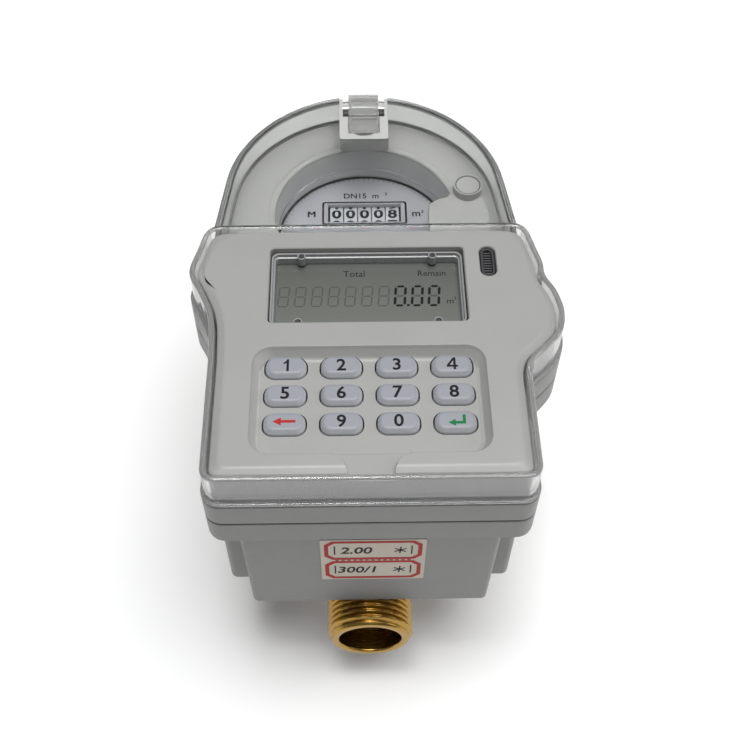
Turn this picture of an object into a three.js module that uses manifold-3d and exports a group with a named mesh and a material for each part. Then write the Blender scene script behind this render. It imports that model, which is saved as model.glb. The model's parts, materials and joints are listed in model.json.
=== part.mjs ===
// Keypad prepaid water meter: a brass meter body with two threaded nozzles, and a plastic casing
// above it with a keypad, a display, a shut-off valve drive and a register under a clear cover.
// Millimetres, +Z up. The origin is the centre of the body's flat base, below the register.
// -Y is the keypad end, and the water pipe runs along Y.
import * as THREE from 'three';
import { mergeVertices } from 'three/addons/utils/BufferGeometryUtils.js';
import Module from 'manifold-3d';

const wasm = await Module();
wasm.setup();

// ---------------------------------------------------------------- driving dimensions

// Water way: overall length over the nozzles, G3/4B thread and bore
const PIPE_LENGTH = 165;
const PIPE_FRONT = -116.25;
const PIPE_BACK = PIPE_FRONT + PIPE_LENGTH;
const PIPE_Z = 30;
const BORE_R = 9.6;
const NECK_R = 12;
const THREAD_R = 13.22;
const THREAD_ROOT_R = 12.06;
const THREAD_PITCH = 1.814;
const THREAD_TURNS = 7;
const MOUTH_CHAMFER = 1;

// Bowl of the meter body
const BOWL_R = 37.8;
const BOWL_INNER_R = 33;
const BOWL_TOP = 62;
const BOWL_FLOOR = 7;

// Ball valve in the front neck
const VALVE_Y = -55;
const VALVE_HOUSING_R = 15.6;
const VALVE_TOP = 50.3;
const VALVE_CAVITY_R = 12.2;
const BALL_R = 11.5;
const BALL_BORE_R = 7.5;
const SEAT_R = 10.2;
const STEM_R = 3;

// Casing outline seen from above
const CASE_HALF_WIDTH = 43.3;
const CASE_FRONT = -109.9;
const CASE_CORNER_R = 4;
const REAR_R = 43.3;
const REAR_TANGENT = THREE.MathUtils.degToRad(7);
const LEFT_FLANK = [
  [43.3, -72], [44.2, -58.5], [47.4, -49.5], [50.2, -43.8], [50.6, -39.5], [48.9, -32.8], [46.6, -22],
];
const RIGHT_FLANK = [
  [43.3, -79], [44.3, -74.2], [49.2, -69.1], [53.2, -63.8], [54.5, -57], [53.2, -49.8], [50.6, -44],
  [50.3, -39], [48.8, -32.8], [46.6, -22],
];
const FLANK_STEPS = 15;
const PANEL_BACK = -23.8;
const PANEL_CORNER = 3;

// Casing heights, from the bottom up
const TUB_BOTTOM = 43.6;
const BAND_BOTTOM = 88;
const SEAM = 97.4;
const UPPER_BOTTOM = 97.9;
const DECK_TOP = 98.4;
const RIDGE = 106.7;
const DOME_TOP = 109.5;
const TRAY_FLOOR = 114;
const FASCIA_TOP = 118.5;
const RIM_TOP = 119.3;

// Casing walls
const WALL = 2.5;
const BAND_GROW = 1;
const TUB_HALF_WIDTH = 42.6;
const TUB_FRONT = -101;
const BLOCK_FRONT = -109;
const BLOCK_HALF_WIDTH_LOW = 35.5;
const BLOCK_HALF_WIDTH_HIGH = 36.3;
const COVER_WALL = 1.6;
const FASCIA_INSET = 2.8;
const FASCIA_BACK_GAP = 0.6;
const FASCIA_BEVEL = 2.6;
const FASCIA_BEVEL_DROP = 1.2;

// Register well, dial and digit rollers
const WELL_R = 28.7;
const DIAL_R = 28.3;
const DIAL_TOP = 84.9;
const CAN_R = 30.5;
const ROLLER_R = 7.2;
const ROLLER_WIDTH = 4.4;
const ROLLER_PITCH = 4.7;
const ROLLER_COUNT = 5;
const ROLLER_Y = 12;
const ROLLER_Z = 77.3;

// Keypad
const KEY_NAMES = [
  'key_1', 'key_2', 'key_3', 'key_4',
  'key_5', 'key_6', 'key_7', 'key_8',
  'key_cancel', 'key_9', 'key_0', 'key_enter',
];
const KEY_COLUMNS = 4;
const KEY_PITCH_X = 15;
const KEY_PITCH_Y = 9;
const KEY_TOP_ROW_Y = -72.7;
const KEY_WIDTH = 11.1;
const KEY_DEPTH = 6.4;
const KEY_CORNER = 2.4;
const KEY_TOP = 116.3;
const KEY_BASE = 110.4;
const KEY_GAP = 0.3;
const TRAY = { x: 30.6, yLow: -101.2, yHigh: -68.6, corner: 4.5 };

// Display and optical port
const WINDOW = { x: 27.8, yLow: -59.5, yHigh: -32.6, corner: 1 };
const PORT = { x: 34.7, y: -38.1, width: 4.6, length: 11 };

// Latch on the rear of the clear cover
const LATCH_PIN_Y = 38.7;
const LATCH_PIN_Z = 107.6;
const LATCH_PIN_R = 0.9;
const LATCH_HALF_WIDTH = 5;
const POCKET_HALF_WIDTH = 7.1;
const POCKET_FRONT = 18.6;
const POCKET_FLOOR = 104.5;

const CIRCLE = 24;
const SMALL_CIRCLE = 10;

// ---------------------------------------------------------------- materials

const makeFinish = (color, roughness, metalness = 0) =>
  new THREE.MeshStandardMaterial({ color, roughness, metalness });
const brass = () => makeFinish(0x967337, 0.35, 1);
const steel = () => makeFinish(0xb8b8b6, 0.3, 1);
const greyPlastic = () => makeFinish(0xacaca8, 0.5);
const darkPlastic = () => makeFinish(0x3a3a3c, 0.6);
const whitePlastic = () => makeFinish(0xd8d8dc, 0.55);
const keyPlastic = () => makeFinish(0xcdcfd6, 0.45);
const blackRubber = () => makeFinish(0x202022, 0.85);
const redPlastic = () => makeFinish(0xb02a28, 0.5);
const boardGreen = () => makeFinish(0x2c5a3a, 0.6);
const displayGrey = () => makeFinish(0x787d73, 0.3);

function clearPlastic() {
  const finish = makeFinish(0xe6e8ea, 0.1);
  finish.transparent = true;
  finish.opacity = 0.35;
  return finish;
}

// ---------------------------------------------------------------- solids

// Turns a closed geometry into a manifold solid with its faces pointing out
function solid(geometry) {
  const bare = geometry.clone();
  bare.deleteAttribute('normal');
  bare.deleteAttribute('uv');
  const merged = mergeVertices(bare, 1e-4);
  const points = merged.attributes.position;
  const triangles = [];
  let volume = 0;
  const corner = [new THREE.Vector3(), new THREE.Vector3(), new THREE.Vector3()];
  for (let i = 0; i < merged.index.count; i += 3) {
    const [a, b, c] = [0, 1, 2].map((k) => merged.index.getX(i + k));
    if (a === b || b === c || c === a) {
      continue;
    }
    triangles.push([a, b, c]);
    [a, b, c].forEach((vertex, k) => corner[k].fromBufferAttribute(points, vertex));
    volume += corner[0].dot(corner[1].cross(corner[2]));
  }
  if (volume < 0) {
    triangles.forEach((triangle) => triangle.reverse());
  }
  return new wasm.Manifold(new wasm.Mesh({
    numProp: 3,
    vertProperties: new Float32Array(points.array),
    triVerts: new Uint32Array(triangles.flat()),
  }));
}

const join = (first, ...others) => others.reduce((sum, other) => sum.add(other), first);
const cut = (first, ...others) => others.reduce((rest, other) => rest.subtract(other), first);

// Upright prism on a list of plan points
function prism(points, zLow, zHigh) {
  const shape = new THREE.Shape(points);
  const geometry = new THREE.ExtrudeGeometry(shape, { depth: zHigh - zLow, bevelEnabled: false });
  return solid(geometry.translate(0, 0, zLow));
}

// Solid through a stack of plan outlines, [points, height] each, that have as many points as each other
function stack(rings) {
  const count = rings[0][0].length;
  const positions = rings.flatMap(([points, z]) => points.flatMap((point) => [point.x, point.y, z]));
  const index = [];
  for (let level = 0; level < rings.length - 1; level += 1) {
    for (let i = 0; i < count; i += 1) {
      const a = level * count + i;
      const b = level * count + (i + 1) % count;
      index.push(a, b, b + count, a, b + count, a + count);
    }
  }
  for (const level of [0, rings.length - 1]) {
    const faces = THREE.ShapeUtils.triangulateShape(rings[level][0], []);
    const flipped = level === 0;
    faces.forEach(([a, b, c]) => index.push(...(flipped ? [c, b, a] : [a, b, c]).map((v) => v + level * count)));
  }
  const geometry = new THREE.BufferGeometry();
  geometry.setAttribute('position', new THREE.Float32BufferAttribute(positions, 3));
  geometry.setIndex(index);
  return solid(geometry);
}

function box(xLow, xHigh, yLow, yHigh, zLow, zHigh) {
  const geometry = new THREE.BoxGeometry(xHigh - xLow, yHigh - yLow, zHigh - zLow);
  return solid(geometry.translate((xLow + xHigh) / 2, (yLow + yHigh) / 2, (zLow + zHigh) / 2));
}

function upright(radius, zLow, zHigh, x = 0, y = 0, steps = CIRCLE) {
  const geometry = new THREE.CylinderGeometry(radius, radius, zHigh - zLow, steps);
  return solid(geometry.rotateX(Math.PI / 2).translate(x, y, (zLow + zHigh) / 2));
}

function alongX(radius, xLow, xHigh, y, z, steps = SMALL_CIRCLE) {
  const geometry = new THREE.CylinderGeometry(radius, radius, xHigh - xLow, steps);
  return solid(geometry.rotateZ(Math.PI / 2).translate((xLow + xHigh) / 2, y, z));
}

function alongY(radius, yLow, yHigh, steps = CIRCLE) {
  const geometry = new THREE.CylinderGeometry(radius, radius, yHigh - yLow, steps);
  return solid(geometry.translate(0, (yLow + yHigh) / 2, PIPE_Z));
}

// Turned solid about the vertical axis, from [radius, height] pairs that start and end on the axis
function turned(profile, steps = CIRCLE) {
  const points = profile.map(([radius, height]) => new THREE.Vector2(radius, height));
  return solid(new THREE.LatheGeometry(points, steps).rotateX(Math.PI / 2));
}

// Polygon in the Y-Z plane, carried across from -halfWidth to +halfWidth
function sideProfile(points, halfWidth) {
  const shape = new THREE.Shape(points.map(([y, z]) => new THREE.Vector2(y, z)));
  const geometry = new THREE.ExtrudeGeometry(shape, { depth: 2 * halfWidth, bevelEnabled: false });
  const axes = new THREE.Matrix4().makeBasis(
    new THREE.Vector3(0, 1, 0),
    new THREE.Vector3(0, 0, 1),
    new THREE.Vector3(1, 0, 0),
  );
  return solid(geometry.applyMatrix4(axes).translate(-halfWidth, 0, 0));
}

function arc(x, y, radius, fromAngle, toAngle, steps) {
  const points = [];
  for (let i = 0; i <= steps; i += 1) {
    const angle = fromAngle + (toAngle - fromAngle) * i / steps;
    points.push(new THREE.Vector2(x + radius * Math.cos(angle), y + radius * Math.sin(angle)));
  }
  return points;
}

function roundedRectangle(xLow, xHigh, yLow, yHigh, radius, steps = 2) {
  const quarter = Math.PI / 2;
  return [
    ...arc(xLow + radius, yLow + radius, radius, 2 * quarter, 3 * quarter, steps),
    ...arc(xHigh - radius, yLow + radius, radius, 3 * quarter, 4 * quarter, steps),
    ...arc(xHigh - radius, yHigh - radius, radius, 0, quarter, steps),
    ...arc(xLow + radius, yHigh - radius, radius, quarter, 2 * quarter, steps),
  ];
}

// ---------------------------------------------------------------- casing outline

// One flank from front to back, moved outwards by grow. side is 1 on the right and -1 on the left.
function flank(table, side, grow, backLimit = Infinity) {
  const end = [REAR_R * Math.cos(REAR_TANGENT), REAR_R * Math.sin(REAR_TANGENT)];
  const curve = new THREE.SplineCurve([...table, end].map(([x, y]) => new THREE.Vector2(side * x, y)));
  const points = [];
  for (let i = 0; i < FLANK_STEPS; i += 1) {
    const at = i / FLANK_STEPS;
    const point = curve.getPoint(at);
    if (point.y > backLimit) {
      continue;
    }
    const tangent = curve.getTangent(at);
    points.push(new THREE.Vector2(
      point.x + side * grow * tangent.y,
      point.y - side * grow * tangent.x,
    ));
  }
  return points;
}

function frontCorners(grow) {
  const half = CASE_HALF_WIDTH + grow;
  const front = CASE_FRONT - grow;
  const radius = Math.max(CASE_CORNER_R + grow, 0.8);
  return [
    ...arc(-half + radius, front + radius, radius, Math.PI, 1.5 * Math.PI, 3),
    ...arc(half - radius, front + radius, radius, 1.5 * Math.PI, 2 * Math.PI, 3),
  ];
}

function caseOutline(grow) {
  return [
    ...frontCorners(grow),
    ...flank(RIGHT_FLANK, 1, grow),
    ...arc(0, 0, REAR_R + grow, REAR_TANGENT, Math.PI - REAR_TANGENT, 20),
    ...flank(LEFT_FLANK, -1, grow).reverse(),
  ];
}

// Front part of the outline, closed by a straight back edge with rounded corners that start at flankEnd
function panelOutline(grow, back = PANEL_BACK + grow, flankEnd = PANEL_BACK - PANEL_CORNER) {
  const right = flank(RIGHT_FLANK, 1, grow, flankEnd);
  const left = flank(LEFT_FLANK, -1, grow, flankEnd).reverse();
  const roundTo = (from, side) => new THREE.QuadraticBezierCurve(
    from,
    new THREE.Vector2(from.x - side * 0.8, back),
    new THREE.Vector2(from.x - side * 1.6 * PANEL_CORNER, back),
  ).getPoints(4).slice(1);
  return [
    ...frontCorners(grow),
    ...right,
    ...roundTo(right.at(-1), 1),
    ...roundTo(left[0], -1).reverse(),
    ...left,
  ];
}

const behindPanel = () => box(-80, 80, PANEL_BACK - COVER_WALL, 80, 60, 140);

// ---------------------------------------------------------------- brass body and valve

// Threaded nozzle with its neck, as a solid bar from its mouth to the bowl
function nozzleBar(mouth, inwards, length) {
  const profile = [[0, mouth], [THREAD_ROOT_R, mouth]];
  for (let turn = 0; turn < THREAD_TURNS; turn += 1) {
    const start = MOUTH_CHAMFER + turn * THREAD_PITCH;
    profile.push([THREAD_R, mouth + inwards * (start + THREAD_PITCH / 2)]);
    profile.push([THREAD_ROOT_R, mouth + inwards * (start + THREAD_PITCH)]);
  }
  const threadEnd = MOUTH_CHAMFER + THREAD_TURNS * THREAD_PITCH;
  profile.push([NECK_R, mouth + inwards * (threadEnd + 1)]);
  profile.push([NECK_R, mouth + inwards * length], [0, mouth + inwards * length]);
  const points = profile.map(([radius, y]) => new THREE.Vector2(radius, y));
  return solid(new THREE.LatheGeometry(points, 20).translate(0, 0, PIPE_Z));
}

function makeMeterBody() {
  const bowl = turned([
    [0, 0], [26, 0], [27.5, 1.5], [27.5, 4], [33, 9], [36.6, 16], [BOWL_R, 24],
    [BOWL_R, BOWL_TOP], [0, BOWL_TOP],
  ]);
  const bowlHollow = turned([
    [0, BOWL_FLOOR], [27, BOWL_FLOOR], [BOWL_INNER_R, 15], [BOWL_INNER_R, BOWL_TOP + 1], [0, BOWL_TOP + 1],
  ]);
  const footRib = box(-7, 7, VALVE_Y - 8, VALVE_Y + 8, 0, 20);
  const outside = join(
    bowl,
    nozzleBar(PIPE_FRONT, 1, 84),
    nozzleBar(PIPE_BACK, -1, 16),
    alongY(13.3, VALVE_Y - 19, VALVE_Y + 20),
    upright(VALVE_HOUSING_R, 13.5, VALVE_TOP, 0, VALVE_Y),
    footRib,
  );
  return cut(
    outside,
    bowlHollow,
    alongY(BORE_R, PIPE_FRONT - 1, -30),
    alongY(BORE_R, 28, PIPE_BACK + 1),
    alongY(SEAT_R + 0.3, VALVE_Y - 14, VALVE_Y + 14),
    upright(VALVE_CAVITY_R, 17.5, VALVE_TOP + 1, 0, VALVE_Y),
  );
}

function makeStrainer() {
  const front = -100;
  const cup = cut(alongY(BORE_R - 0.4, front, front + 12), alongY(BORE_R - 1.6, front - 1, front + 10.8));
  const holes = [];
  for (let i = 0; i < 6; i += 1) {
    const angle = i * Math.PI / 3;
    const geometry = new THREE.CylinderGeometry(1.7, 1.7, 6, 6);
    holes.push(solid(geometry.translate(4.8 * Math.cos(angle), front + 12, PIPE_Z + 4.8 * Math.sin(angle))));
  }
  return cut(cup, ...holes);
}

function ballSphere(radius) {
  return solid(new THREE.SphereGeometry(radius, 16, 10).translate(0, VALVE_Y, PIPE_Z));
}

function makeSeat(side) {
  const near = VALVE_Y + side * 6;
  const far = VALVE_Y + side * 13.7;
  const ring = cut(
    alongY(SEAT_R, Math.min(near, far), Math.max(near, far)),
    alongY(BALL_BORE_R + 0.4, VALVE_Y - 20, VALVE_Y + 20),
  );
  return cut(ring, ballSphere(BALL_R + 0.35));
}

function makeBall() {
  const slot = box(-3.6, 3.6, VALVE_Y - 1.4, VALVE_Y + 1.4, PIPE_Z + BALL_R - 2.6, PIPE_Z + BALL_R + 2);
  return cut(ballSphere(BALL_R), alongY(BALL_BORE_R, VALVE_Y - 20, VALVE_Y + 20), slot);
}

function makeStem() {
  const shoulder = PIPE_Z + BALL_R + 0.6;
  const tongue = box(-3, 3, VALVE_Y - 1.1, VALVE_Y + 1.1, shoulder - 2.6, shoulder + 0.5);
  return join(upright(STEM_R, shoulder, 70, 0, VALVE_Y, SMALL_CIRCLE), tongue);
}

function makeBonnet() {
  const body = join(
    upright(VALVE_CAVITY_R - 0.3, VALVE_TOP - 5.8, VALVE_TOP + 1, 0, VALVE_Y),
    upright(VALVE_HOUSING_R - 0.6, VALVE_TOP + 0.2, VALVE_TOP + 3.7, 0, VALVE_Y, 6),
  );
  return cut(body, upright(STEM_R + 0.4, 40, 60, 0, VALVE_Y, SMALL_CIRCLE));
}

function makeActuator() {
  const gearbox = prism(roundedRectangle(-15, 15, VALVE_Y - 16, VALVE_Y + 14, 3), 56, 80);
  const motor = upright(8, 79.5, 88, 4, VALVE_Y + 4, 16);
  return cut(join(gearbox, motor), upright(STEM_R + 0.5, 55, 71, 0, VALVE_Y, SMALL_CIRCLE));
}

// ---------------------------------------------------------------- measuring chamber and register

function makeChamberCup() {
  let cup = cut(upright(32.4, 15.4, 40), upright(30.4, 17.4, 41));
  for (let i = 0; i < 4; i += 1) {
    const port = new THREE.BoxGeometry(12, 5, 4).translate(31, 0, 0).rotateZ(i * Math.PI / 2);
    const low = solid(port.clone().translate(0, 0, 21.5));
    const high = solid(port.clone().rotateZ(Math.PI / 4).translate(0, 0, 33));
    cup = cut(cup, low, high);
  }
  return cup;
}

function makeImpeller() {
  const hub = upright(5, 19, 38.5, 0, 0, 10);
  const vanes = [];
  for (let i = 0; i < 6; i += 1) {
    const blade = new THREE.BoxGeometry(22, 1.6, 12).translate(15, 0, 28).rotateZ(i * Math.PI / 3);
    vanes.push(solid(blade));
  }
  return join(hub, ...vanes);
}

function makeHeadRing() {
  const ring = turned([[0, 47], [39.1, 47], [39.1, 65.2], [38.3, 66], [0, 66]]);
  return cut(ring, upright(38.1, 46, BOWL_TOP + 0.3), upright(31, 60, 67));
}

function makeRegisterCan() {
  const can = upright(CAN_R, 57, 85);
  return cut(can, upright(DIAL_R + 0.3, 59.5, 86));
}

function makeDialPlate() {
  const plate = upright(DIAL_R, DIAL_TOP - 1.4, DIAL_TOP);
  const ears = [-1, 1].map((side) => {
    const inner = side * 13;
    const outer = side * 14.6;
    return box(Math.min(inner, outer), Math.max(inner, outer), ROLLER_Y - 2.2, ROLLER_Y + 2.2, 74.5, 84);
  });
  const holes = [...POINTERS.map(({ x, y }) => [x, y]), [STAR.x, STAR.y]].map(
    ([x, y]) => upright(1.1, 80, 90, x, y, SMALL_CIRCLE),
  );
  return cut(
    join(plate, ...ears),
    box(-12.3, 12.3, ROLLER_Y - 4, ROLLER_Y + 4, 80, 90),
    alongX(1.3, -20, 20, ROLLER_Y, ROLLER_Z),
    ...holes,
  );
}

function makeRoller() {
  const drum = alongX(ROLLER_R, -ROLLER_WIDTH / 2, ROLLER_WIDTH / 2, 0, 0, 16);
  return cut(drum, alongX(1.3, -5, 5, 0, 0, 8));
}

const POINTERS = [
  { name: 'pointer_tenth', x: 15.5, y: -4 },
  { name: 'pointer_hundredth', x: 0, y: -17.5 },
  { name: 'pointer_thousandth', x: -15.5, y: -4 },
];
const STAR = { name: 'flow_star', x: 0, y: -2 };
const HAND_BOTTOM = DIAL_TOP + 0.35;
const HAND_TOP = DIAL_TOP + 0.95;

function makePointer() {
  const hand = [
    new THREE.Vector2(0, 4.6),
    ...arc(0, 0, 1.5, Math.PI * 0.75, Math.PI * 2.25, 6),
  ];
  return join(prism(hand, HAND_BOTTOM, HAND_TOP), upright(0.8, 78, HAND_TOP - 0.1, 0, 0, 6));
}

function makeStar() {
  const points = [];
  for (let i = 0; i < 12; i += 1) {
    const radius = i % 2 === 0 ? 2.8 : 1.6;
    const angle = i * Math.PI / 6;
    points.push(new THREE.Vector2(radius * Math.cos(angle), radius * Math.sin(angle)));
  }
  return join(prism(points, HAND_BOTTOM, HAND_TOP), upright(0.8, 78, HAND_TOP - 0.1, 0, 0, 6));
}

// ---------------------------------------------------------------- casing

function tubOutline(inset) {
  const half = TUB_HALF_WIDTH - inset;
  const front = TUB_FRONT + inset;
  return [
    ...arc(-half + 2, front + 2, 2, Math.PI, 1.5 * Math.PI, 2),
    ...arc(half - 2, front + 2, 2, 1.5 * Math.PI, 2 * Math.PI, 2),
    ...arc(0, 0, half, 0, Math.PI, 20),
  ];
}

// Front block of the tub, which narrows a little towards its bottom
function blockSolid(inset, zLow, zHigh, yBack) {
  const half = (z) => THREE.MathUtils.mapLinear(
    z, TUB_BOTTOM, BAND_BOTTOM, BLOCK_HALF_WIDTH_LOW, BLOCK_HALF_WIDTH_HIGH,
  ) - inset;
  const shape = new THREE.Shape([
    new THREE.Vector2(-half(zLow), zLow),
    new THREE.Vector2(half(zLow), zLow),
    new THREE.Vector2(half(zHigh), zHigh),
    new THREE.Vector2(-half(zHigh), zHigh),
  ]);
  const front = BLOCK_FRONT + inset;
  const geometry = new THREE.ExtrudeGeometry(shape, { depth: yBack - front, bevelEnabled: false });
  return solid(geometry.rotateX(Math.PI / 2).translate(0, yBack, 0));
}

const SCREWS = [
  { x: -39.2, y: -104.6 },
  { x: 39.2, y: -104.6 },
  { x: -46.2, y: -41.5 },
  { x: 46.2, y: -41.5 },
];
const SCREW_BOSS_R = 2.4;
const SCREW_SHANK_R = 1.2;

function makeLowerCase() {
  const outside = join(
    blockSolid(0, TUB_BOTTOM, BAND_BOTTOM + 1, -90),
    prism(tubOutline(0), TUB_BOTTOM, BAND_BOTTOM + 1),
    prism(caseOutline(BAND_GROW), BAND_BOTTOM, SEAM),
  );
  const floorTop = TUB_BOTTOM + WALL;
  return cut(
    outside,
    blockSolid(WALL, floorTop, 99, -90),
    prism(tubOutline(WALL), floorTop, 99),
    prism(caseOutline(BAND_GROW - WALL), BAND_BOTTOM + WALL, 99),
    upright(BOWL_R + 0.8, 40, 50),
    upright(VALVE_HOUSING_R + 0.7, 40, 50, 0, VALVE_Y),
    box(-9, 9, VALVE_Y, 0, 40, 50),
    ...SCREWS.map(({ x, y }) => upright(SCREW_SHANK_R + 0.4, 85, 92, x, y, SMALL_CIRCLE)),
  );
}

function makeGasket() {
  return cut(
    prism(caseOutline(BAND_GROW - 0.7), SEAM + 0.1, UPPER_BOTTOM - 0.1),
    prism(caseOutline(BAND_GROW - WALL + 0.2), SEAM - 1, UPPER_BOTTOM + 1),
  );
}

function makeUpperCase() {
  const deck = join(
    prism(caseOutline(BAND_GROW), UPPER_BOTTOM, RIDGE),
    prism(caseOutline(BAND_GROW - WALL - 0.4), DECK_TOP - 2.4, DECK_TOP),
    upright(WELL_R + 2, 89.7, DECK_TOP),
    ...SCREWS.map(({ x, y }) => upright(SCREW_BOSS_R, BAND_BOTTOM + WALL + 0.3, DECK_TOP, x, y, SMALL_CIRCLE)),
  );
  return cut(
    deck,
    prism(caseOutline(-0.3), DECK_TOP, RIDGE + 1),
    upright(WELL_R, 85, 100),
    prism(roundedRectangle(-31, 31, -101, -42, 4), 90, 100),
    ...SCREWS.map(({ x, y }) => upright(SCREW_SHANK_R + 0.3, 85, 97, x, y, SMALL_CIRCLE)),
  );
}

function makeScrew() {
  const head = turned([[0, -2], [1.9, -2], [2.4, -1.5], [2.4, 0], [0, 0]], 8);
  const shank = upright(SCREW_SHANK_R, -0.2, 8.6, 0, 0, 6);
  return cut(join(head, shank), box(-1.5, 1.5, -0.3, 0.3, -3, -1.2));
}

function makeFascia() {
  const back = PANEL_BACK - FASCIA_INSET - FASCIA_BACK_GAP;
  const plateBottom = FASCIA_TOP - 2.5;
  const trayBottom = TRAY_FLOOR - 2.2;
  const flankEnd = back - 2 * PANEL_CORNER;
  const outer = panelOutline(-FASCIA_INSET, back, flankEnd);
  const shell = cut(
    stack([
      [outer, DECK_TOP + 0.3],
      [outer, FASCIA_TOP - FASCIA_BEVEL_DROP],
      [panelOutline(-FASCIA_INSET - FASCIA_BEVEL, back - FASCIA_BEVEL, flankEnd), FASCIA_TOP],
    ]),
    prism(panelOutline(-FASCIA_INSET - 2, back - 2, flankEnd), 95, plateBottom),
  );
  const trayBlock = prism(
    roundedRectangle(-TRAY.x - 2, TRAY.x + 2, TRAY.yLow - 2, TRAY.yHigh + 2, TRAY.corner + 1),
    trayBottom,
    FASCIA_TOP - 1,
  );
  const windowBlock = prism(
    roundedRectangle(-WINDOW.x - 1.5, WINDOW.x + 1.5, WINDOW.yLow - 1.5, WINDOW.yHigh + 1.5, WINDOW.corner),
    112,
    FASCIA_TOP - 1,
  );
  const posts = [[-38, -96], [38, -96], [-40, -50], [40, -50]].map(
    ([x, y]) => upright(2.2, 106.2, FASCIA_TOP - 1, x, y, SMALL_CIRCLE),
  );
  const drain = [
    [-5.2, CASE_FRONT], [5.2, CASE_FRONT], [5.2, -106.2], [6.6, -104], [6.6, TRAY.yLow + 2],
    [-6.6, TRAY.yLow + 2], [-6.6, -104], [-5.2, -106.2],
  ].map(([x, y]) => new THREE.Vector2(x, y));
  const keyHoles = keyPlaces().map(({ x, y }) => prism(
    roundedRectangle(
      x - KEY_WIDTH / 2 - KEY_GAP, x + KEY_WIDTH / 2 + KEY_GAP,
      y - KEY_DEPTH / 2 - KEY_GAP, y + KEY_DEPTH / 2 + KEY_GAP,
      KEY_CORNER,
    ),
    trayBottom - 1,
    TRAY_FLOOR + 1,
  ));
  return cut(
    join(shell, trayBlock, windowBlock, ...posts),
    prism(roundedRectangle(-TRAY.x, TRAY.x, TRAY.yLow, TRAY.yHigh, TRAY.corner), TRAY_FLOOR, 125),
    prism(drain, TRAY_FLOOR + 2.6, 125),
    prism(roundedRectangle(-WINDOW.x, WINDOW.x, WINDOW.yLow, WINDOW.yHigh, WINDOW.corner), 110, 125),
    prism(portOutline(0), 110, 125),
    ...keyHoles,
  );
}

function portOutline(inset) {
  const radius = PORT.width / 2 - inset;
  const reach = (PORT.length - PORT.width) / 2;
  return [
    ...arc(PORT.x, PORT.y - reach, radius, Math.PI, 2 * Math.PI, 6),
    ...arc(PORT.x, PORT.y + reach, radius, 0, Math.PI, 6),
  ];
}

function makeOpticalPort() {
  const insert = prism(portOutline(0.25), 113.5, FASCIA_TOP - 0.6);
  const flange = prism(portOutline(-1.1), 113.5, FASCIA_TOP - 2.8);
  return join(insert, flange);
}

function makeDisplayGlass() {
  return prism(
    roundedRectangle(-WINDOW.x + 0.4, WINDOW.x - 0.4, WINDOW.yLow + 0.4, WINDOW.yHigh - 0.4, 0.6),
    109.8,
    113.1,
  );
}

function makeDisplayBezel() {
  const frame = cut(
    prism(roundedRectangle(-WINDOW.x + 0.3, WINDOW.x - 0.3, WINDOW.yLow + 0.3, WINDOW.yHigh - 0.3, 0.8), 113.2, 114.4),
    prism(roundedRectangle(-WINDOW.x + 2, WINDOW.x - 2, WINDOW.yLow + 2.2, WINDOW.yHigh - 2.2, 0.6), 112, 116),
  );
  const posts = [[-17.6, -34.3], [17.6, -34.3], [-17.6, -57.9], [17.6, -57.9]].map(
    ([x, y]) => upright(1.2, 114, 116.2, x, y, SMALL_CIRCLE),
  );
  return join(frame, ...posts);
}

// ---------------------------------------------------------------- keypad

function keyPlaces() {
  return KEY_NAMES.map((name, i) => ({
    name,
    x: ((i % KEY_COLUMNS) - (KEY_COLUMNS - 1) / 2) * KEY_PITCH_X,
    y: KEY_TOP_ROW_Y - Math.floor(i / KEY_COLUMNS) * KEY_PITCH_Y,
  }));
}

// One key about its own centre, with the flange that holds it under the tray
function makeKey() {
  const outline = (grow, radius) => roundedRectangle(
    -KEY_WIDTH / 2 - grow, KEY_WIDTH / 2 + grow, -KEY_DEPTH / 2 - grow, KEY_DEPTH / 2 + grow, radius,
  );
  const cap = stack([
    [outline(0, KEY_CORNER), KEY_BASE],
    [outline(0, KEY_CORNER), KEY_TOP - 0.6],
    [outline(-0.7, KEY_CORNER - 0.7), KEY_TOP],
  ]);
  const flange = prism(outline(0.9, 1.5), KEY_BASE, 111.5);
  return join(cap, flange);
}

function makeKeyMat() {
  const sheet = box(-TRAY.x, TRAY.x, TRAY.yLow, TRAY.yHigh, 106.2, 107.6);
  const domes = keyPlaces().map(({ x, y }) => upright(2.6, 107.4, 109.2, x, y, 6));
  return join(sheet, ...domes);
}

function makeCircuitBoard() {
  return prism(panelOutline(-FASCIA_INSET - 3.2, PANEL_BACK - 7, PANEL_BACK - 12), 104.4, 106);
}

// ---------------------------------------------------------------- sensor and clear cover

const SENSOR_BOSS = { x: 33.1, y: 6.5, radius: 4.6, top: 103.6 };

function makeSensorHousing() {
  const pad = [
    [20, -21], [39.5, -21], [39.5, -4], [37.8, 4], [36.2, 10],
    [32, 11.6], [28.8, 10.2], [27, 4], [23, 3], [20.2, 0.5],
  ].map(([x, y]) => new THREE.Vector2(x, y));
  const body = join(
    prism(pad, DECK_TOP + 0.2, DECK_TOP + 2.4),
    upright(SENSOR_BOSS.radius, DECK_TOP + 0.2, SENSOR_BOSS.top, SENSOR_BOSS.x, SENSOR_BOSS.y, 24),
  );
  return cut(body, upright(4, 101, 105, SENSOR_BOSS.x, SENSOR_BOSS.y, 20));
}

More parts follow.
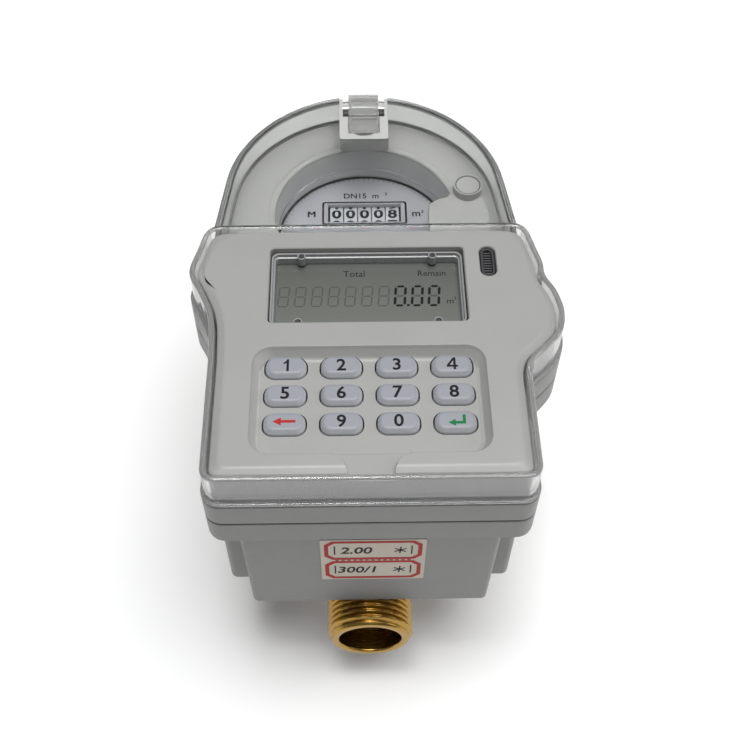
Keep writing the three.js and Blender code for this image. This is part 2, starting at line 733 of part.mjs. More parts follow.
function makeClearCover() {
  const panelWall = cut(
    prism(panelOutline(0), RIDGE + 0.2, RIM_TOP),
    prism(panelOutline(-COVER_WALL), 100, 125),
  );
  const flange = cut(
    prism(caseOutline(BAND_GROW), RIDGE + 0.2, RIDGE + 1.4),
    prism(caseOutline(-COVER_WALL), 100, 125),
  );
  const roof = prism(caseOutline(0), RIDGE + 1, DOME_TOP).intersect(behindPanel());
  const roofHollow = prism(caseOutline(-COVER_WALL), 100, DOME_TOP - 1.5)
    .intersect(box(-80, 80, PANEL_BACK, 80, 90, 120));
  const skirt = cut(prism(caseOutline(-0.9), DECK_TOP + 0.4, DOME_TOP - 1), prism(caseOutline(-2.1), 90, 120))
    .intersect(box(-80, 80, PANEL_BACK + 2.3, 80, 90, 120));
  const pocketShell = box(
    -POCKET_HALF_WIDTH - 1.2, POCKET_HALF_WIDTH + 1.2, POCKET_FRONT - 1.2, 41.5, POCKET_FLOOR - 1.5, DOME_TOP,
  ).intersect(prism(caseOutline(-1), 90, 120));
  const scoop = upright(6.6, POCKET_FLOOR, 120, 0, POCKET_FRONT + 8.4, 24);
  const railGap = LATCH_HALF_WIDTH + 0.2;
  return cut(
    join(cut(join(panelWall, flange, roof), roofHollow), skirt, pocketShell),
    box(-railGap, railGap, 25, 50, POCKET_FLOOR, 120),
    box(-POCKET_HALF_WIDTH, POCKET_HALF_WIDTH, 31, 50, POCKET_FLOOR, 120),
    scoop.intersect(box(-railGap, railGap, 10, 30, 90, 120)),
    alongX(LATCH_PIN_R + 0.1, -7.9, 7.9, LATCH_PIN_Y, LATCH_PIN_Z),
  );
}

function makeLatchLever() {
  const profile = [
    [25.4, 108.6], [35, 108.2], [37, 105.9], [40.4, 105.9], [41.8, 107.2], [44.9, 107.2],
    [44.9, 100.5], [46.3, 100.9], [46.5, 107.4], [45, 109.1], [41.5, 109.9], [33, 109.9], [25.4, 110.3],
  ];
  return cut(sideProfile(profile, LATCH_HALF_WIDTH), alongX(LATCH_PIN_R + 0.25, -10, 10, LATCH_PIN_Y, LATCH_PIN_Z));
}

// ---------------------------------------------------------------- assembly

const meter = new THREE.Group();

function place(name, shape, material, x = 0, y = 0, z = 0) {
  const mesh = shape.getMesh();
  const geometry = new THREE.BufferGeometry();
  geometry.setAttribute('position', new THREE.BufferAttribute(new Float32Array(mesh.vertProperties), 3));
  geometry.setIndex(new THREE.BufferAttribute(new Uint32Array(mesh.triVerts), 1));
  geometry.computeVertexNormals();
  const node = new THREE.Mesh(geometry, material);
  node.name = name;
  node.position.set(x, y, z);
  meter.add(node);
}

place('meter_body', makeMeterBody(), brass());
place('inlet_strainer', makeStrainer(), whitePlastic());
place('valve_seat_front', makeSeat(-1), whitePlastic());
place('valve_seat_back', makeSeat(1), whitePlastic());
place('valve_ball', makeBall(), steel());
place('valve_stem', makeStem(), steel());
place('valve_bonnet', makeBonnet(), brass());
place('valve_actuator', makeActuator(), darkPlastic());

place('chamber_cup', makeChamberCup(), whitePlastic());
place('impeller', makeImpeller(), whitePlastic());
place('chamber_lid', upright(32.4, 40.4, 44), whitePlastic());
place('pressure_plate', upright(32.6, 50, 56), brass());
place('head_ring', makeHeadRing(), brass());
place('register_can', makeRegisterCan(), darkPlastic());
place('dial_plate', makeDialPlate(), whitePlastic());
place('roller_shaft', alongX(1, -14.4, 14.4, ROLLER_Y, ROLLER_Z), steel());
for (let i = 0; i < ROLLER_COUNT; i += 1) {
  const x = (i - (ROLLER_COUNT - 1) / 2) * ROLLER_PITCH;
  place(`digit_roller_${i + 1}`, makeRoller(), whitePlastic(), x, ROLLER_Y, ROLLER_Z);
}
for (const { name, x, y } of POINTERS) {
  place(name, makePointer(), redPlastic(), x, y);
}
place(STAR.name, makeStar(), redPlastic(), STAR.x, STAR.y);
place('glass_seal', cut(upright(30.4, 85.1, 86.2), upright(28.9, 84, 88)), blackRubber());
place('register_glass', upright(30.4, 86.4, 89.4), clearPlastic());

place('lower_case', makeLowerCase(), greyPlastic());
place('case_gasket', makeGasket(), blackRubber());
place('upper_case', makeUpperCase(), greyPlastic());
SCREWS.forEach(({ x, y }, i) => {
  place(`case_screw_${i + 1}`, makeScrew(), steel(), x, y, BAND_BOTTOM - 0.2);
});
place('battery', alongX(13, -25, 25, -88, 60.5, 24), darkPlastic());
place('front_label', box(-14, 14, BLOCK_FRONT - 0.35, BLOCK_FRONT - 0.1, 59.6, 84.6), whitePlastic());

place('fascia', makeFascia(), greyPlastic());
place('optical_port', makeOpticalPort(), darkPlastic());
place('lcd_glass', makeDisplayGlass(), displayGrey());
place('lcd_bezel', makeDisplayBezel(), steel());
place('circuit_board', makeCircuitBoard(), boardGreen());
place('key_mat', makeKeyMat(), blackRubber());
for (const { name, x, y } of keyPlaces()) {
  place(name, makeKey(), keyPlastic(), x, y);
}

place('sensor_housing', makeSensorHousing(), greyPlastic());
place('screw_plug', upright(3.75, 101.3, SENSOR_BOSS.top - 0.1, SENSOR_BOSS.x, SENSOR_BOSS.y, 20), greyPlastic());
place('clear_cover', makeClearCover(), clearPlastic());
place('latch_pin', alongX(LATCH_PIN_R, -7.7, 7.7, LATCH_PIN_Y, LATCH_PIN_Z), steel());
place('latch_lever', makeLatchLever(), clearPlastic());

export default meter;
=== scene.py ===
import json
import math

import bmesh
import bpy
from mathutils import Matrix, Vector


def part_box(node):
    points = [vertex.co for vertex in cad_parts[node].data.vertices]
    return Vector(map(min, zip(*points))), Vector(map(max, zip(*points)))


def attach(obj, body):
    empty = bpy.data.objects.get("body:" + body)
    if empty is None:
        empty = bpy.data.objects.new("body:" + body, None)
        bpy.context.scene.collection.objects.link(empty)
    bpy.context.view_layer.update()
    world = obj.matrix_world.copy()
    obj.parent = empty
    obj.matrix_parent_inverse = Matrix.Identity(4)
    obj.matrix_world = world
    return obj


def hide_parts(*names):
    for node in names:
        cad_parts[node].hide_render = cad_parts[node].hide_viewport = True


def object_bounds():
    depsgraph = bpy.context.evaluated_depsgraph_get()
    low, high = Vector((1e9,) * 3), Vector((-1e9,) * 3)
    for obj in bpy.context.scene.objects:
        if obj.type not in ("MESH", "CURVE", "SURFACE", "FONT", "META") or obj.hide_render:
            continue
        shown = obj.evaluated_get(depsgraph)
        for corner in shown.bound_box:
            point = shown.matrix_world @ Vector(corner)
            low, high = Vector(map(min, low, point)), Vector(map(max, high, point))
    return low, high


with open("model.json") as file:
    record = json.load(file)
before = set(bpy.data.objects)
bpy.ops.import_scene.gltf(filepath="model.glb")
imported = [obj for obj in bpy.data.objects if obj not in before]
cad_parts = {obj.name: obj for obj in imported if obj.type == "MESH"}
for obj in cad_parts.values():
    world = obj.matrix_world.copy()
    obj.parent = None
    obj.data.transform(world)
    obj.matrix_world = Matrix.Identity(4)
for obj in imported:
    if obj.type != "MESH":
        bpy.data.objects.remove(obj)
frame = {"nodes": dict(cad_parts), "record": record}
CAD_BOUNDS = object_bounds()

# ---------------------------------------------------------------- sizes in millimetres

METRES = 0.001

# Casing outline seen from above, keypad end at -Y
CASE_HALF = 43.3
CASE_FRONT = -109.9
CASE_CORNER = 4.0
REAR_R = 43.3
REAR_TANGENT = math.radians(7)
LEFT_FLANK = [
    (43.3, -72), (44.2, -58.5), (47.4, -49.5), (50.2, -43.8),
    (50.6, -39.5), (48.9, -32.8), (46.6, -22),
]
RIGHT_FLANK = [
    (43.3, -79), (44.3, -74.2), (49.2, -69.1), (53.2, -63.8), (54.5, -57),
    (53.2, -49.8), (50.6, -44), (50.3, -39), (48.8, -32.8), (46.6, -22),
]
PANEL_BACK = -23.8
RIM_CORNER = 6.0
TUB_HALF = 42.6
TUB_FRONT = -101.0
TUB_CORNER = 2.0
BLOCK_HALF = 35.5
BLOCK_FRONT = -109.0

# Casing heights
TUB_BOTTOM = 43.6
BAND_BOTTOM = 88.0
SEAM = 97.4
UPPER_BOTTOM = 97.9
DECK_TOP = 98.4
RIDGE = 106.7
DOME_TOP = 109.5
PANEL_FOOT = 98.7
TRAY_UNDERSIDE = 111.8
TRAY_FLOOR = 114.5
FASCIA_TOP = 118.5
RIM_TOP = 119.3
BAND_GROW = 1.0
WALL = 2.5
COVER_WALL = 1.6

# Latch, its pin and its pocket in the cover
POCKET_HALF = 8.0
POCKET_FRONT = 22.4
POCKET_BOTTOM = 103.6
POCKET_FLOOR = 104.5
SLOT_HALF = 5.2
RECESS_HALF = 6.9
RECESS_FRONT = 33.0
LEVER_HALF = 5.0
LATCH_PIN_Y = 38.7
LATCH_PIN_Z = 107.6

# Register
WELL_R = 28.7
DIAL_R = 28.3
DIAL_TOP = 84.9
GLASS_BOTTOM = 88.6
GLASS_TOP = 89.4
ROLLER_R = 7.2
ROLLER_WIDTH = 4.4
ROLLER_PITCH = 4.7
ROLLER_Y = 12.0
ROLLER_Z = 77.3
POINTERS = {
    "pointer_tenth": (15.5, -4.0),
    "pointer_hundredth": (0.0, -17.5),
    "pointer_thousandth": (-15.5, -4.0),
}
STAR = (0.0, -2.0)

# Keypad and display
KEYS = [
    ("key_1", "1"), ("key_2", "2"), ("key_3", "3"), ("key_4", "4"),
    ("key_5", "5"), ("key_6", "6"), ("key_7", "7"), ("key_8", "8"),
    ("key_cancel", "back"), ("key_9", "9"), ("key_0", "0"), ("key_enter", "enter"),
]
KEY_PITCH = (15.0, 9.0)
KEY_TOP_ROW = -72.7
KEY_SIZE = (11.1, 6.4)
KEY_CORNER = 2.7
KEY_TOP = 116.33
KEY_SHOULDER = 116.2
WINDOW = (-27.8, 27.8, -59.5, -32.6)
DISPLAY_TOP = 113.1
PORT = (34.7, -38.1)
PORT_SIZE = (4.6, 11.0)

# Brass body
PIPE_Z = 30.0
PIPE_FRONT = -116.25
PIPE_BACK = 48.75
BORE_R = 9.6
THREAD_R = 13.22
THREAD_ROOT = 12.1
THREAD_PITCH = 1.814
THREAD_LENGTH = 13.7
BOWL_R = 37.8
HOUSING_R = 15.6
VALVE_Y = -55.0

# How far a cutter reaches past everything it cuts
FAR = 80.0
OVER = 120.0

# ---------------------------------------------------------------- outlines


def arc(x, y, radius, start, stop, steps):
    angles = [start + (stop - start) * i / steps for i in range(steps + 1)]
    return [(x + radius * math.cos(a), y + radius * math.sin(a)) for a in angles]


def rounded_box(x_low, x_high, y_low, y_high, radius, grow=0.0, steps=8):
    r = max(radius + grow, 0.15)
    low, high = (x_low - grow + r, y_low - grow + r), (x_high + grow - r, y_high + grow - r)
    turn = math.pi / 2
    return (
        arc(low[0], low[1], r, 2 * turn, 3 * turn, steps)
        + arc(high[0], low[1], r, 3 * turn, 4 * turn, steps)
        + arc(high[0], high[1], r, 0, turn, steps)
        + arc(low[0], high[1], r, turn, 2 * turn, steps)
    )


def smooth_curve(points, per_span=14):
    line, last = [], len(points) - 1
    for span in range(last):
        corner = [Vector(points[min(max(span + k, 0), last)]) for k in (-1, 0, 1, 2)]
        leave, arrive = (corner[2] - corner[0]) / 2, (corner[3] - corner[1]) / 2
        for i in range(per_span):
            t = i / per_span
            line.append(
                corner[1] * (2 * t**3 - 3 * t**2 + 1)
                + corner[2] * (3 * t**2 - 2 * t**3)
                + leave * (t**3 - 2 * t**2 + t)
                + arrive * (t**3 - t**2)
            )
    return line + [Vector(points[last])]


def pushed_out(line, amount):
    """The line moved sideways, to the right of its direction."""
    moved = []
    for i, point in enumerate(line):
        along = (line[min(i + 1, len(line) - 1)] - line[max(i - 1, 0)]).normalized()
        moved.append(point + amount * Vector((along.y, -along.x)))
    return moved


def clipped(line, low, high):
    """The stretch of a line that rises in Y, between two heights."""
    kept = []
    for first, second in zip(line, line[1:]):
        if second.y <= low or first.y >= high:
            continue
        span = second.y - first.y
        start = max((low - first.y) / span, 0.0)
        stop = min((high - first.y) / span, 1.0)
        if not kept:
            kept.append(first.lerp(second, start))
        kept.append(first.lerp(second, stop))
    return kept


def resampled(line, count):
    lengths = [0.0]
    for first, second in zip(line, line[1:]):
        lengths.append(lengths[-1] + (second - first).length)
    points, span = [], 0
    for i in range(count):
        target = lengths[-1] * i / (count - 1)
        while span < len(line) - 2 and lengths[span + 1] < target:
            span += 1
        share = (target - lengths[span]) / max(lengths[span + 1] - lengths[span], 1e-9)
        points.append(tuple(line[span].lerp(line[span + 1], share)))
    return points


def flank(table, grow, low, high, count=70):
    end = (REAR_R * math.cos(REAR_TANGENT), REAR_R * math.sin(REAR_TANGENT))
    line = [Vector((table[0][0], CASE_FRONT))] + smooth_curve(table + [end])
    return resampled(clipped(pushed_out(line, grow), low, high), count)


def left_flank(grow, low, high, count=70):
    return [(-x, y) for x, y in reversed(flank(LEFT_FLANK, grow, low, high, count))]


def front_corners(grow, radius):
    half, front = CASE_HALF + grow, CASE_FRONT - grow
    quarter = math.pi / 2
    left = arc(-half + radius, front + radius, radius, 2 * quarter, 3 * quarter, 8)
    right = arc(half - radius, front + radius, radius, 3 * quarter, 4 * quarter, 8)
    return left + right


def case_outline(grow):
    radius = max(CASE_CORNER + grow, 0.8)
    low = CASE_FRONT - grow + radius
    high = (REAR_R + grow) * math.sin(REAR_TANGENT)
    return (
        front_corners(grow, radius)
        + flank(RIGHT_FLANK, grow, low, high)
        + arc(0, 0, REAR_R + grow, REAR_TANGENT, math.pi - REAR_TANGENT, 90)[1:-1]
        + left_flank(grow, low, high)
    )


def rear_outline(grow, front):
    """The casing outline behind a straight line across it."""
    high = (REAR_R + grow) * math.sin(REAR_TANGENT)
    return (
        flank(RIGHT_FLANK, grow, front, high, 30)
        + arc(0, 0, REAR_R + grow, REAR_TANGENT, math.pi - REAR_TANGENT, 90)[1:-1]
        + left_flank(grow, front, high, 30)
    )


def panel_outline(grow, back, rear_corner, front_corner=None):
    """The front part of the casing outline, closed by a straight back edge with rounded corners."""
    radius = front_corner or max(CASE_CORNER + grow, 0.8)
    low = CASE_FRONT - grow + radius
    right = flank(RIGHT_FLANK, grow, low, back - rear_corner)
    left = left_flank(grow, low, back - rear_corner)

    def corner(start, side):
        first = Vector(start)
        middle = Vector((first.x - side * 0.15 * rear_corner, back))
        last = Vector((first.x - side * rear_corner, back))
        steps = [i / 10 for i in range(1, 11)]
        return [tuple(first.lerp(middle, t).lerp(middle.lerp(last, t), t)) for t in steps]

    return front_corners(grow, radius) + right + corner(right[-1], 1) + corner(left[0], -1)[::-1] + left


def rim_outline(grow):
    return panel_outline(grow, PANEL_BACK + grow, RIM_CORNER + grow)


def tub_outline(grow):
    half, front = TUB_HALF + grow, TUB_FRONT - grow
    quarter, r = math.pi / 2, TUB_CORNER
    return (
        arc(-half + r, front + r, r, 2 * quarter, 3 * quarter, 6)
        + arc(half - r, front + r, r, 3 * quarter, 4 * quarter, 6)
        + arc(0, 0, half, 0, math.pi, 90)
    )


def softened(profile, radius, cyclic=False, steps=4):
    """A line with each inner corner rounded."""
    points = [Vector(p) for p in profile]
    count = len(points)
    smooth = []
    for i, point in enumerate(points):
        if not cyclic and i in (0, count - 1):
            smooth.append(tuple(point))
            continue
        before, after = points[i - 1], points[(i + 1) % count]
        reach_in = min(radius, 0.49 * (before - point).length)
        reach_out = min(radius, 0.49 * (after - point).length)
        start = point + (before - point).normalized() * reach_in
        stop = point + (after - point).normalized() * reach_out
        for k in range(steps + 1):
            t = k / steps
            smooth.append(tuple(start.lerp(point, t).lerp(point.lerp(stop, t), t)))
    return smooth


# ---------------------------------------------------------------- shapes


def as_object(name, mesh):
    data = bpy.data.meshes.new(name)
    mesh.to_mesh(data)
    mesh.free()
    made = bpy.data.objects.new(name, data)
    bpy.context.scene.collection.objects.link(made)
    return made


def loft(rings, cyclic=False):
    """A closed surface through rings of points. Each ring is a list of (x, y, z)."""
    mesh = bmesh.new()
    rows = [[mesh.verts.new(point) for point in ring] for ring in rings]
    pairs = list(zip(rows, rows[1:] + rows[:1])) if cyclic else list(zip(rows, rows[1:]))
    for low, high in pairs:
        size = len(low)
        for i in range(size):
            mesh.faces.new((low[i], low[(i + 1) % size], high[(i + 1) % size], high[i]))
    if not cyclic:
        mesh.faces.new(rows[0][::-1])
        mesh.faces.new(rows[-1])
    bmesh.ops.recalc_face_normals(mesh, faces=mesh.faces)
    return as_object("shape", mesh)


def level(points, z):
    return [(x, y, z) for x, y in points]


def prism(points, low, high):
    return loft([level(points, low), level(points, high)])


def swept(outline, profile, cyclic=False):
    """A loft of one outline, grown and raised along a profile of (grow, z)."""
    return loft([level(outline(grow), z) for grow, z in profile], cyclic)


def box(x_low, x_high, y_low, y_high, z_low, z_high):
    return prism([(x_low, y_low), (x_high, y_low), (x_high, y_high), (x_low, y_high)], z_low, z_high)


def turned(profile, steps=96, cyclic=False, at=(0.0, 0.0)):
    """A solid of revolution about Z from a profile of (radius, z)."""
    circle = [2 * math.pi * i / steps for i in range(steps)]
    rings = [
        [(at[0] + max(r, 0.01) * math.cos(a), at[1] + max(r, 0.01) * math.sin(a), z) for a in circle]
        for r, z in profile
    ]
    return loft(rings, cyclic)


def along_y(shape, z=PIPE_Z):
    """A shape turned about Z, laid down so that its height runs along +Y at the pipe's height."""
    turn = Matrix.Translation((0, 0, z)) @ Matrix.Rotation(-math.pi / 2, 4, "X")
    shape.data.transform(turn)
    return shape


def along_x(shape, y, z):
    shape.data.transform(Matrix.Translation((0, y, z)) @ Matrix.Rotation(math.pi / 2, 4, "Y"))
    return shape


def sideways(points, half_width):
    """A side profile of (y, z), stretched evenly across X."""
    return loft([[(x, y, z) for y, z in points] for x in (-half_width, half_width)])


def moved(shape, x=0.0, y=0.0, z=0.0):
    shape.data.transform(Matrix.Translation((x, y, z)))
    return shape


def remove(shape):
    data = shape.data
    bpy.data.objects.remove(shape)
    bpy.data.meshes.remove(data)


def evaluated_mesh(shape):
    graph = bpy.context.evaluated_depsgraph_get()
    return bpy.data.meshes.new_from_object(shape.evaluated_get(graph))


def boolean(shape, tools, operation):
    for tool in tools:
        step = shape.modifiers.new("cut", "BOOLEAN")
        step.operation = operation
        step.solver = "EXACT"
        step.object = tool
        result = evaluated_mesh(shape)
        shape.modifiers.clear()
        shape.data = result
        remove(tool)
    return shape


def cut(shape, *tools):
    return boolean(shape, tools, "DIFFERENCE")


def fused(shape, *others):
    return boolean(shape, others, "UNION")


def common(shape, other):
    return boolean(shape, [other], "INTERSECT")


def paint(shape, material):
    shape.data.materials.clear()
    shape.data.materials.append(material)
    for face in shape.data.polygons:
        face.material_index = 0
    return shape


def together(*shapes):
    """Several shapes in one mesh. Each keeps its own material."""
    materials, mesh = [], bmesh.new()
    for shape in shapes:
        own = list(shape.data.materials)
        for material in own:
            if material not in materials:
                materials.append(material)
        before = len(mesh.faces)
        mesh.from_mesh(shape.data)
        mesh.faces.ensure_lookup_table()
        for face in mesh.faces[before:]:
            if own:
                face.material_index = materials.index(own[face.material_index])
    for shape in shapes:
        remove(shape)
    joined = as_object("shape", mesh)
    for material in materials:
        joined.data.materials.append(material)
    return joined


def finish(shape, name, body, nodes, angle=32):
    """The shape becomes one finished piece in metres that stands for some CAD nodes."""
    mesh = bmesh.new()
    mesh.from_mesh(shape.data)
    bmesh.ops.remove_doubles(mesh, verts=mesh.verts, dist=0.0005)
    bmesh.ops.dissolve_degenerate(mesh, edges=mesh.edges, dist=0.0002)
    mesh.to_mesh(shape.data)
    mesh.free()
    shape.data.transform(Matrix.Scale(METRES, 4))
    shape.data.shade_smooth()
    shape.data.set_sharp_from_angle(angle=math.radians(angle))
    step = shape.modifiers.new("normals", "WEIGHTED_NORMAL")
    step.keep_sharp = True
    result = evaluated_mesh(shape)
    shape.modifiers.clear()
    shape.data = result
    shape.name = name
    shape.data.name = name
    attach(shape, body)
    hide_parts(*nodes)


def lettering(text, height, depth, material, slant=0.0, narrow=1.0, weight=0.018):
    """Flat raised letters, centred on the origin, that face +Z."""
    curve = bpy.data.curves.new("letters", "FONT")
    curve.body = text
    curve.resolution_u = 3
    curve.extrude = 0.5
    curve.offset = weight
    holder = bpy.data.objects.new("letters", curve)
    bpy.context.scene.collection.objects.link(holder)
    data = evaluated_mesh(holder)
    bpy.data.objects.remove(holder)
    bpy.data.curves.remove(curve)
    corners = [v.co.copy() for v in data.vertices]
    low = Vector([min(c[k] for c in corners) for k in range(3)])
    high = Vector([max(c[k] for c in corners) for k in range(3)])
    size = height / (high.y - low.y)
    centre = (low + high) / 2
    for vertex in data.vertices:
        place = vertex.co - centre
        vertex.co = ((place.x + slant * place.y) * size * narrow, place.y * size, place.z * depth)
    made = bpy.data.objects.new("letters", data)
    bpy.context.scene.collection.objects.link(made)
    return paint(made, material)


def flat_shape(points, low, high, material):
    return paint(prism(points, low, high), material)


def flat_frame(outer, inner, low, high, material):
    """A flat frame between two outlines that have the same number of points."""
    rings = [level(outer, low), level(outer, high), level(inner, high), level(inner, low)]
    return paint(loft(rings, cyclic=True), material)


def face_front(shape, y):
    """Stands a shape that faces +Z upright, so that it faces -Y."""
    shape.data.transform(Matrix.Translation((0, y, 0)) @ Matrix.Rotation(math.pi / 2, 4, "X"))
    return shape


# ---------------------------------------------------------------- repeated parts


def node_tree(name, inputs):
    """An empty geometry tree with named number inputs, its input node and its output node."""
    tree = bpy.data.node_groups.new(name, "GeometryNodeTree")
    tree.interface.new_socket("Geometry", in_out="OUTPUT", socket_type="NodeSocketGeometry")
    sockets = {}
    for label, kind in inputs:
        sockets[label] = tree.interface.new_socket(label, in_out="INPUT", socket_type=kind).identifier
    return tree, sockets, tree.nodes.new("NodeGroupInput"), tree.nodes.new("NodeGroupOutput")


def grown(tree, sockets, values):
    """A new shape made by a geometry tree."""
    holder = bpy.data.objects.new("shape", bpy.data.meshes.new("shape"))
    bpy.context.scene.collection.objects.link(holder)
    step = holder.modifiers.new("nodes", "NODES")
    step.node_group = tree
    for label, value in values.items():
        step[sockets[label]] = value
    made = bpy.data.objects.new("shape", evaluated_mesh(holder))
    bpy.context.scene.collection.objects.link(made)
    remove(holder)
    return made


def finish_tree(tree, geometry, material, output):
    real = tree.nodes.new("GeometryNodeRealizeInstances")
    coat = tree.nodes.new("GeometryNodeSetMaterial")
    coat.inputs["Material"].default_value = material
    tree.links.new(geometry, real.inputs[0])
    tree.links.new(real.outputs[0], coat.inputs["Geometry"])
    tree.links.new(coat.outputs[0], output.inputs[0])


def ring_of_bars(material, count, radius, width, depth, height):
    """Upright bars around a circle about the origin, such as ribs or tick marks."""
    inputs = [("Count", "NodeSocketInt"), ("Radius", "NodeSocketFloat"), ("Size", "NodeSocketVector")]
    tree, sockets, given, output = node_tree("ring of bars", inputs)
    circle = tree.nodes.new("GeometryNodeMeshCircle")
    bar = tree.nodes.new("GeometryNodeMeshCube")
    place = tree.nodes.new("GeometryNodeInputPosition")
    aim = tree.nodes.new("FunctionNodeAlignRotationToVector")
    aim.axis = "X"
    aim.pivot_axis = "Z"
    copies = tree.nodes.new("GeometryNodeInstanceOnPoints")
    tree.links.new(given.outputs["Count"], circle.inputs["Vertices"])
    tree.links.new(given.outputs["Radius"], circle.inputs["Radius"])
    tree.links.new(given.outputs["Size"], bar.inputs["Size"])
    tree.links.new(place.outputs[0], aim.inputs["Vector"])
    tree.links.new(circle.outputs[0], copies.inputs["Points"])
    tree.links.new(bar.outputs[0], copies.inputs["Instance"])
    tree.links.new(aim.outputs[0], copies.inputs["Rotation"])
    finish_tree(tree, copies.outputs[0], material, output)
    return grown(tree, sockets, {"Count": count, "Radius": radius, "Size": (depth, width, height)})


def row_of_bars(material, count, pitch, size):
    """Bars in a row along Y, centred on the origin, such as grip ribs."""
    inputs = [
        ("Count", "NodeSocketInt"), ("Start", "NodeSocketVector"),
        ("Pitch", "NodeSocketVector"), ("Size", "NodeSocketVector"),
    ]
    tree, sockets, given, output = node_tree("row of bars", inputs)
    line = tree.nodes.new("GeometryNodeMeshLine")
    line.mode = "OFFSET"
    bar = tree.nodes.new("GeometryNodeMeshCube")
    copies = tree.nodes.new("GeometryNodeInstanceOnPoints")
    tree.links.new(given.outputs["Count"], line.inputs["Count"])
    tree.links.new(given.outputs["Start"], line.inputs["Start Location"])
    tree.links.new(given.outputs["Pitch"], line.inputs["Offset"])
    tree.links.new(given.outputs["Size"], bar.inputs["Size"])
    tree.links.new(line.outputs[0], copies.inputs["Points"])
    tree.links.new(bar.outputs[0], copies.inputs["Instance"])
    finish_tree(tree, copies.outputs[0], material, output)
    start = (0.0, -pitch * (count - 1) / 2, 0.0)
    return grown(tree, sockets, {"Count": count, "Start": start, "Pitch": (0.0, pitch, 0.0), "Size": size})


# ---------------------------------------------------------------- shader sums


class Value:
    """A number from a shader node, which can be used in sums."""

    def __init__(self, tree, socket):
        self.tree = tree
        self.socket = socket

    def combined(self, operation, first, second):
        node = self.tree.nodes.new("ShaderNodeMath")
        node.operation = operation
        for slot, item in zip(node.inputs, (first, second)):
            if isinstance(item, Value):
                self.tree.links.new(item.socket, slot)
            else:
                slot.default_value = item
        return Value(self.tree, node.outputs[0])

    def __add__(self, other):
        return self.combined("ADD", self, other)

    def __radd__(self, other):
        return self.combined("ADD", other, self)

    def __sub__(self, other):
        return self.combined("SUBTRACT", self, other)

    def __rsub__(self, other):
        return self.combined("SUBTRACT", other, self)

    def __mul__(self, other):
        return self.combined("MULTIPLY", self, other)

    def __rmul__(self, other):
        return self.combined("MULTIPLY", other, self)

    def clamped(self):
        low = self.combined("MAXIMUM", self, 0.0)
        return low.combined("MINIMUM", low, 1.0)


class Finish:
    """A material under construction around one Principled BSDF."""

    def __init__(self, name, **constants):
        self.material = bpy.data.materials.new(name)
        self.material.use_nodes = True
        self.tree = self.material.node_tree
        self.tree.nodes.clear()
        self.shader = self.add("ShaderNodeBsdfPrincipled")
        output = self.add("ShaderNodeOutputMaterial")
        self.tree.links.new(self.shader.outputs[0], output.inputs["Surface"])
        self.place = self.add("ShaderNodeTexCoord").outputs["Object"]
        for label, value in constants.items():
            self.shader.inputs[label.replace("_", " ")].default_value = value

    def add(self, kind, settings=None, **inputs):
        node = self.tree.nodes.new(kind)
        for key, value in (settings or {}).items():
            setattr(node, key, value)
        for label, value in inputs.items():
            slot = node.inputs[label.replace("_", " ")]
            if isinstance(value, Value):
                self.tree.links.new(value.socket, slot)
            elif isinstance(value, bpy.types.NodeSocket):
                self.tree.links.new(value, slot)
            else:
                slot.default_value = value
        return node

    def set(self, label, value):
        socket = value.socket if isinstance(value, Value) else value
        self.tree.links.new(socket, self.shader.inputs[label])

    def stretched(self, x, y, z):
        return self.add("ShaderNodeMapping", Vector=self.place, Scale=(x, y, z)).outputs[0]

    def noise(self, scale, detail=3.0, roughness=0.55, where=None):
        node = self.add(
            "ShaderNodeTexNoise", Vector=where or self.place, Scale=scale, Detail=detail, Roughness=roughness
        )
        return Value(self.tree, node.outputs["Fac"])

    def blend(self, amount, first, second):
        node = self.add("ShaderNodeMix", {"data_type": "RGBA"})
        self.tree.links.new(amount.socket, node.inputs[0])
        for slot, color in ((node.inputs[6], first), (node.inputs[7], second)):
            if isinstance(color, bpy.types.NodeSocket):
                self.tree.links.new(color, slot)
            else:
                slot.default_value = (*color, 1.0)
        return node.outputs[2]

    def bump(self, height, depth, strength=1.0, normal=None):
        node = self.add("ShaderNodeBump", Height=height, Distance=depth, Strength=strength)
        if normal:
            self.tree.links.new(normal, node.inputs["Normal"])
        return node.outputs[0]


def scaled(color, share):
    return tuple(min(c * share, 1.0) for c in color)


def moulded(name, color, roughness=0.45, grain=6500.0, depth=0.000012, mottle=0.03, coat=0.0):
    """Satin moulded plastic with a fine grain and faint flow marks."""
    made = Finish(name, Coat_Weight=coat, Coat_Roughness=0.25, IOR=1.46)
    marks = made.noise(45.0, 4.0) - 0.5
    amount = (marks * 2.0 + 0.5).clamped()
    made.set("Base Color", made.blend(amount, scaled(color, 1 - mottle), scaled(color, 1 + mottle)))
    rub = made.noise(420.0, 5.0, 0.6)
    made.set("Roughness", (rub - 0.5) * 0.16 + roughness)
    fine = made.bump(made.noise(grain, 2.0), depth, 0.5)
    made.set("Normal", made.bump(made.noise(90.0, 2.0), 0.00004, 0.25, fine))
    return made.material


def key_plastic():
    """Matt silicone, with the sides painted paler than the top: painted light from the front falling on them.
    """
    made = Finish("key plastic", IOR=1.42)
    height = Value(made.tree, made.add("ShaderNodeSeparateXYZ", Vector=made.place).outputs["Z"])
    fading = 900.0
    # Painted light: below the shoulder the colour blends to a pale grey, so the sides read as lit from the
    # front.
    side = ((KEY_SHOULDER * METRES - height) * fading).clamped()
    marks = made.noise(45.0, 4.0)
    top = made.blend(marks, (0.245, 0.252, 0.278), (0.258, 0.266, 0.292))
    made.set("Base Color", made.blend(side, top, (0.62, 0.63, 0.66)))
    made.set("Roughness", made.noise(420.0, 5.0, 0.6) * 0.16 + 0.34)
    made.set("Normal", made.bump(made.noise(8000.0, 2.0), 0.000006, 0.5))
    return made.material


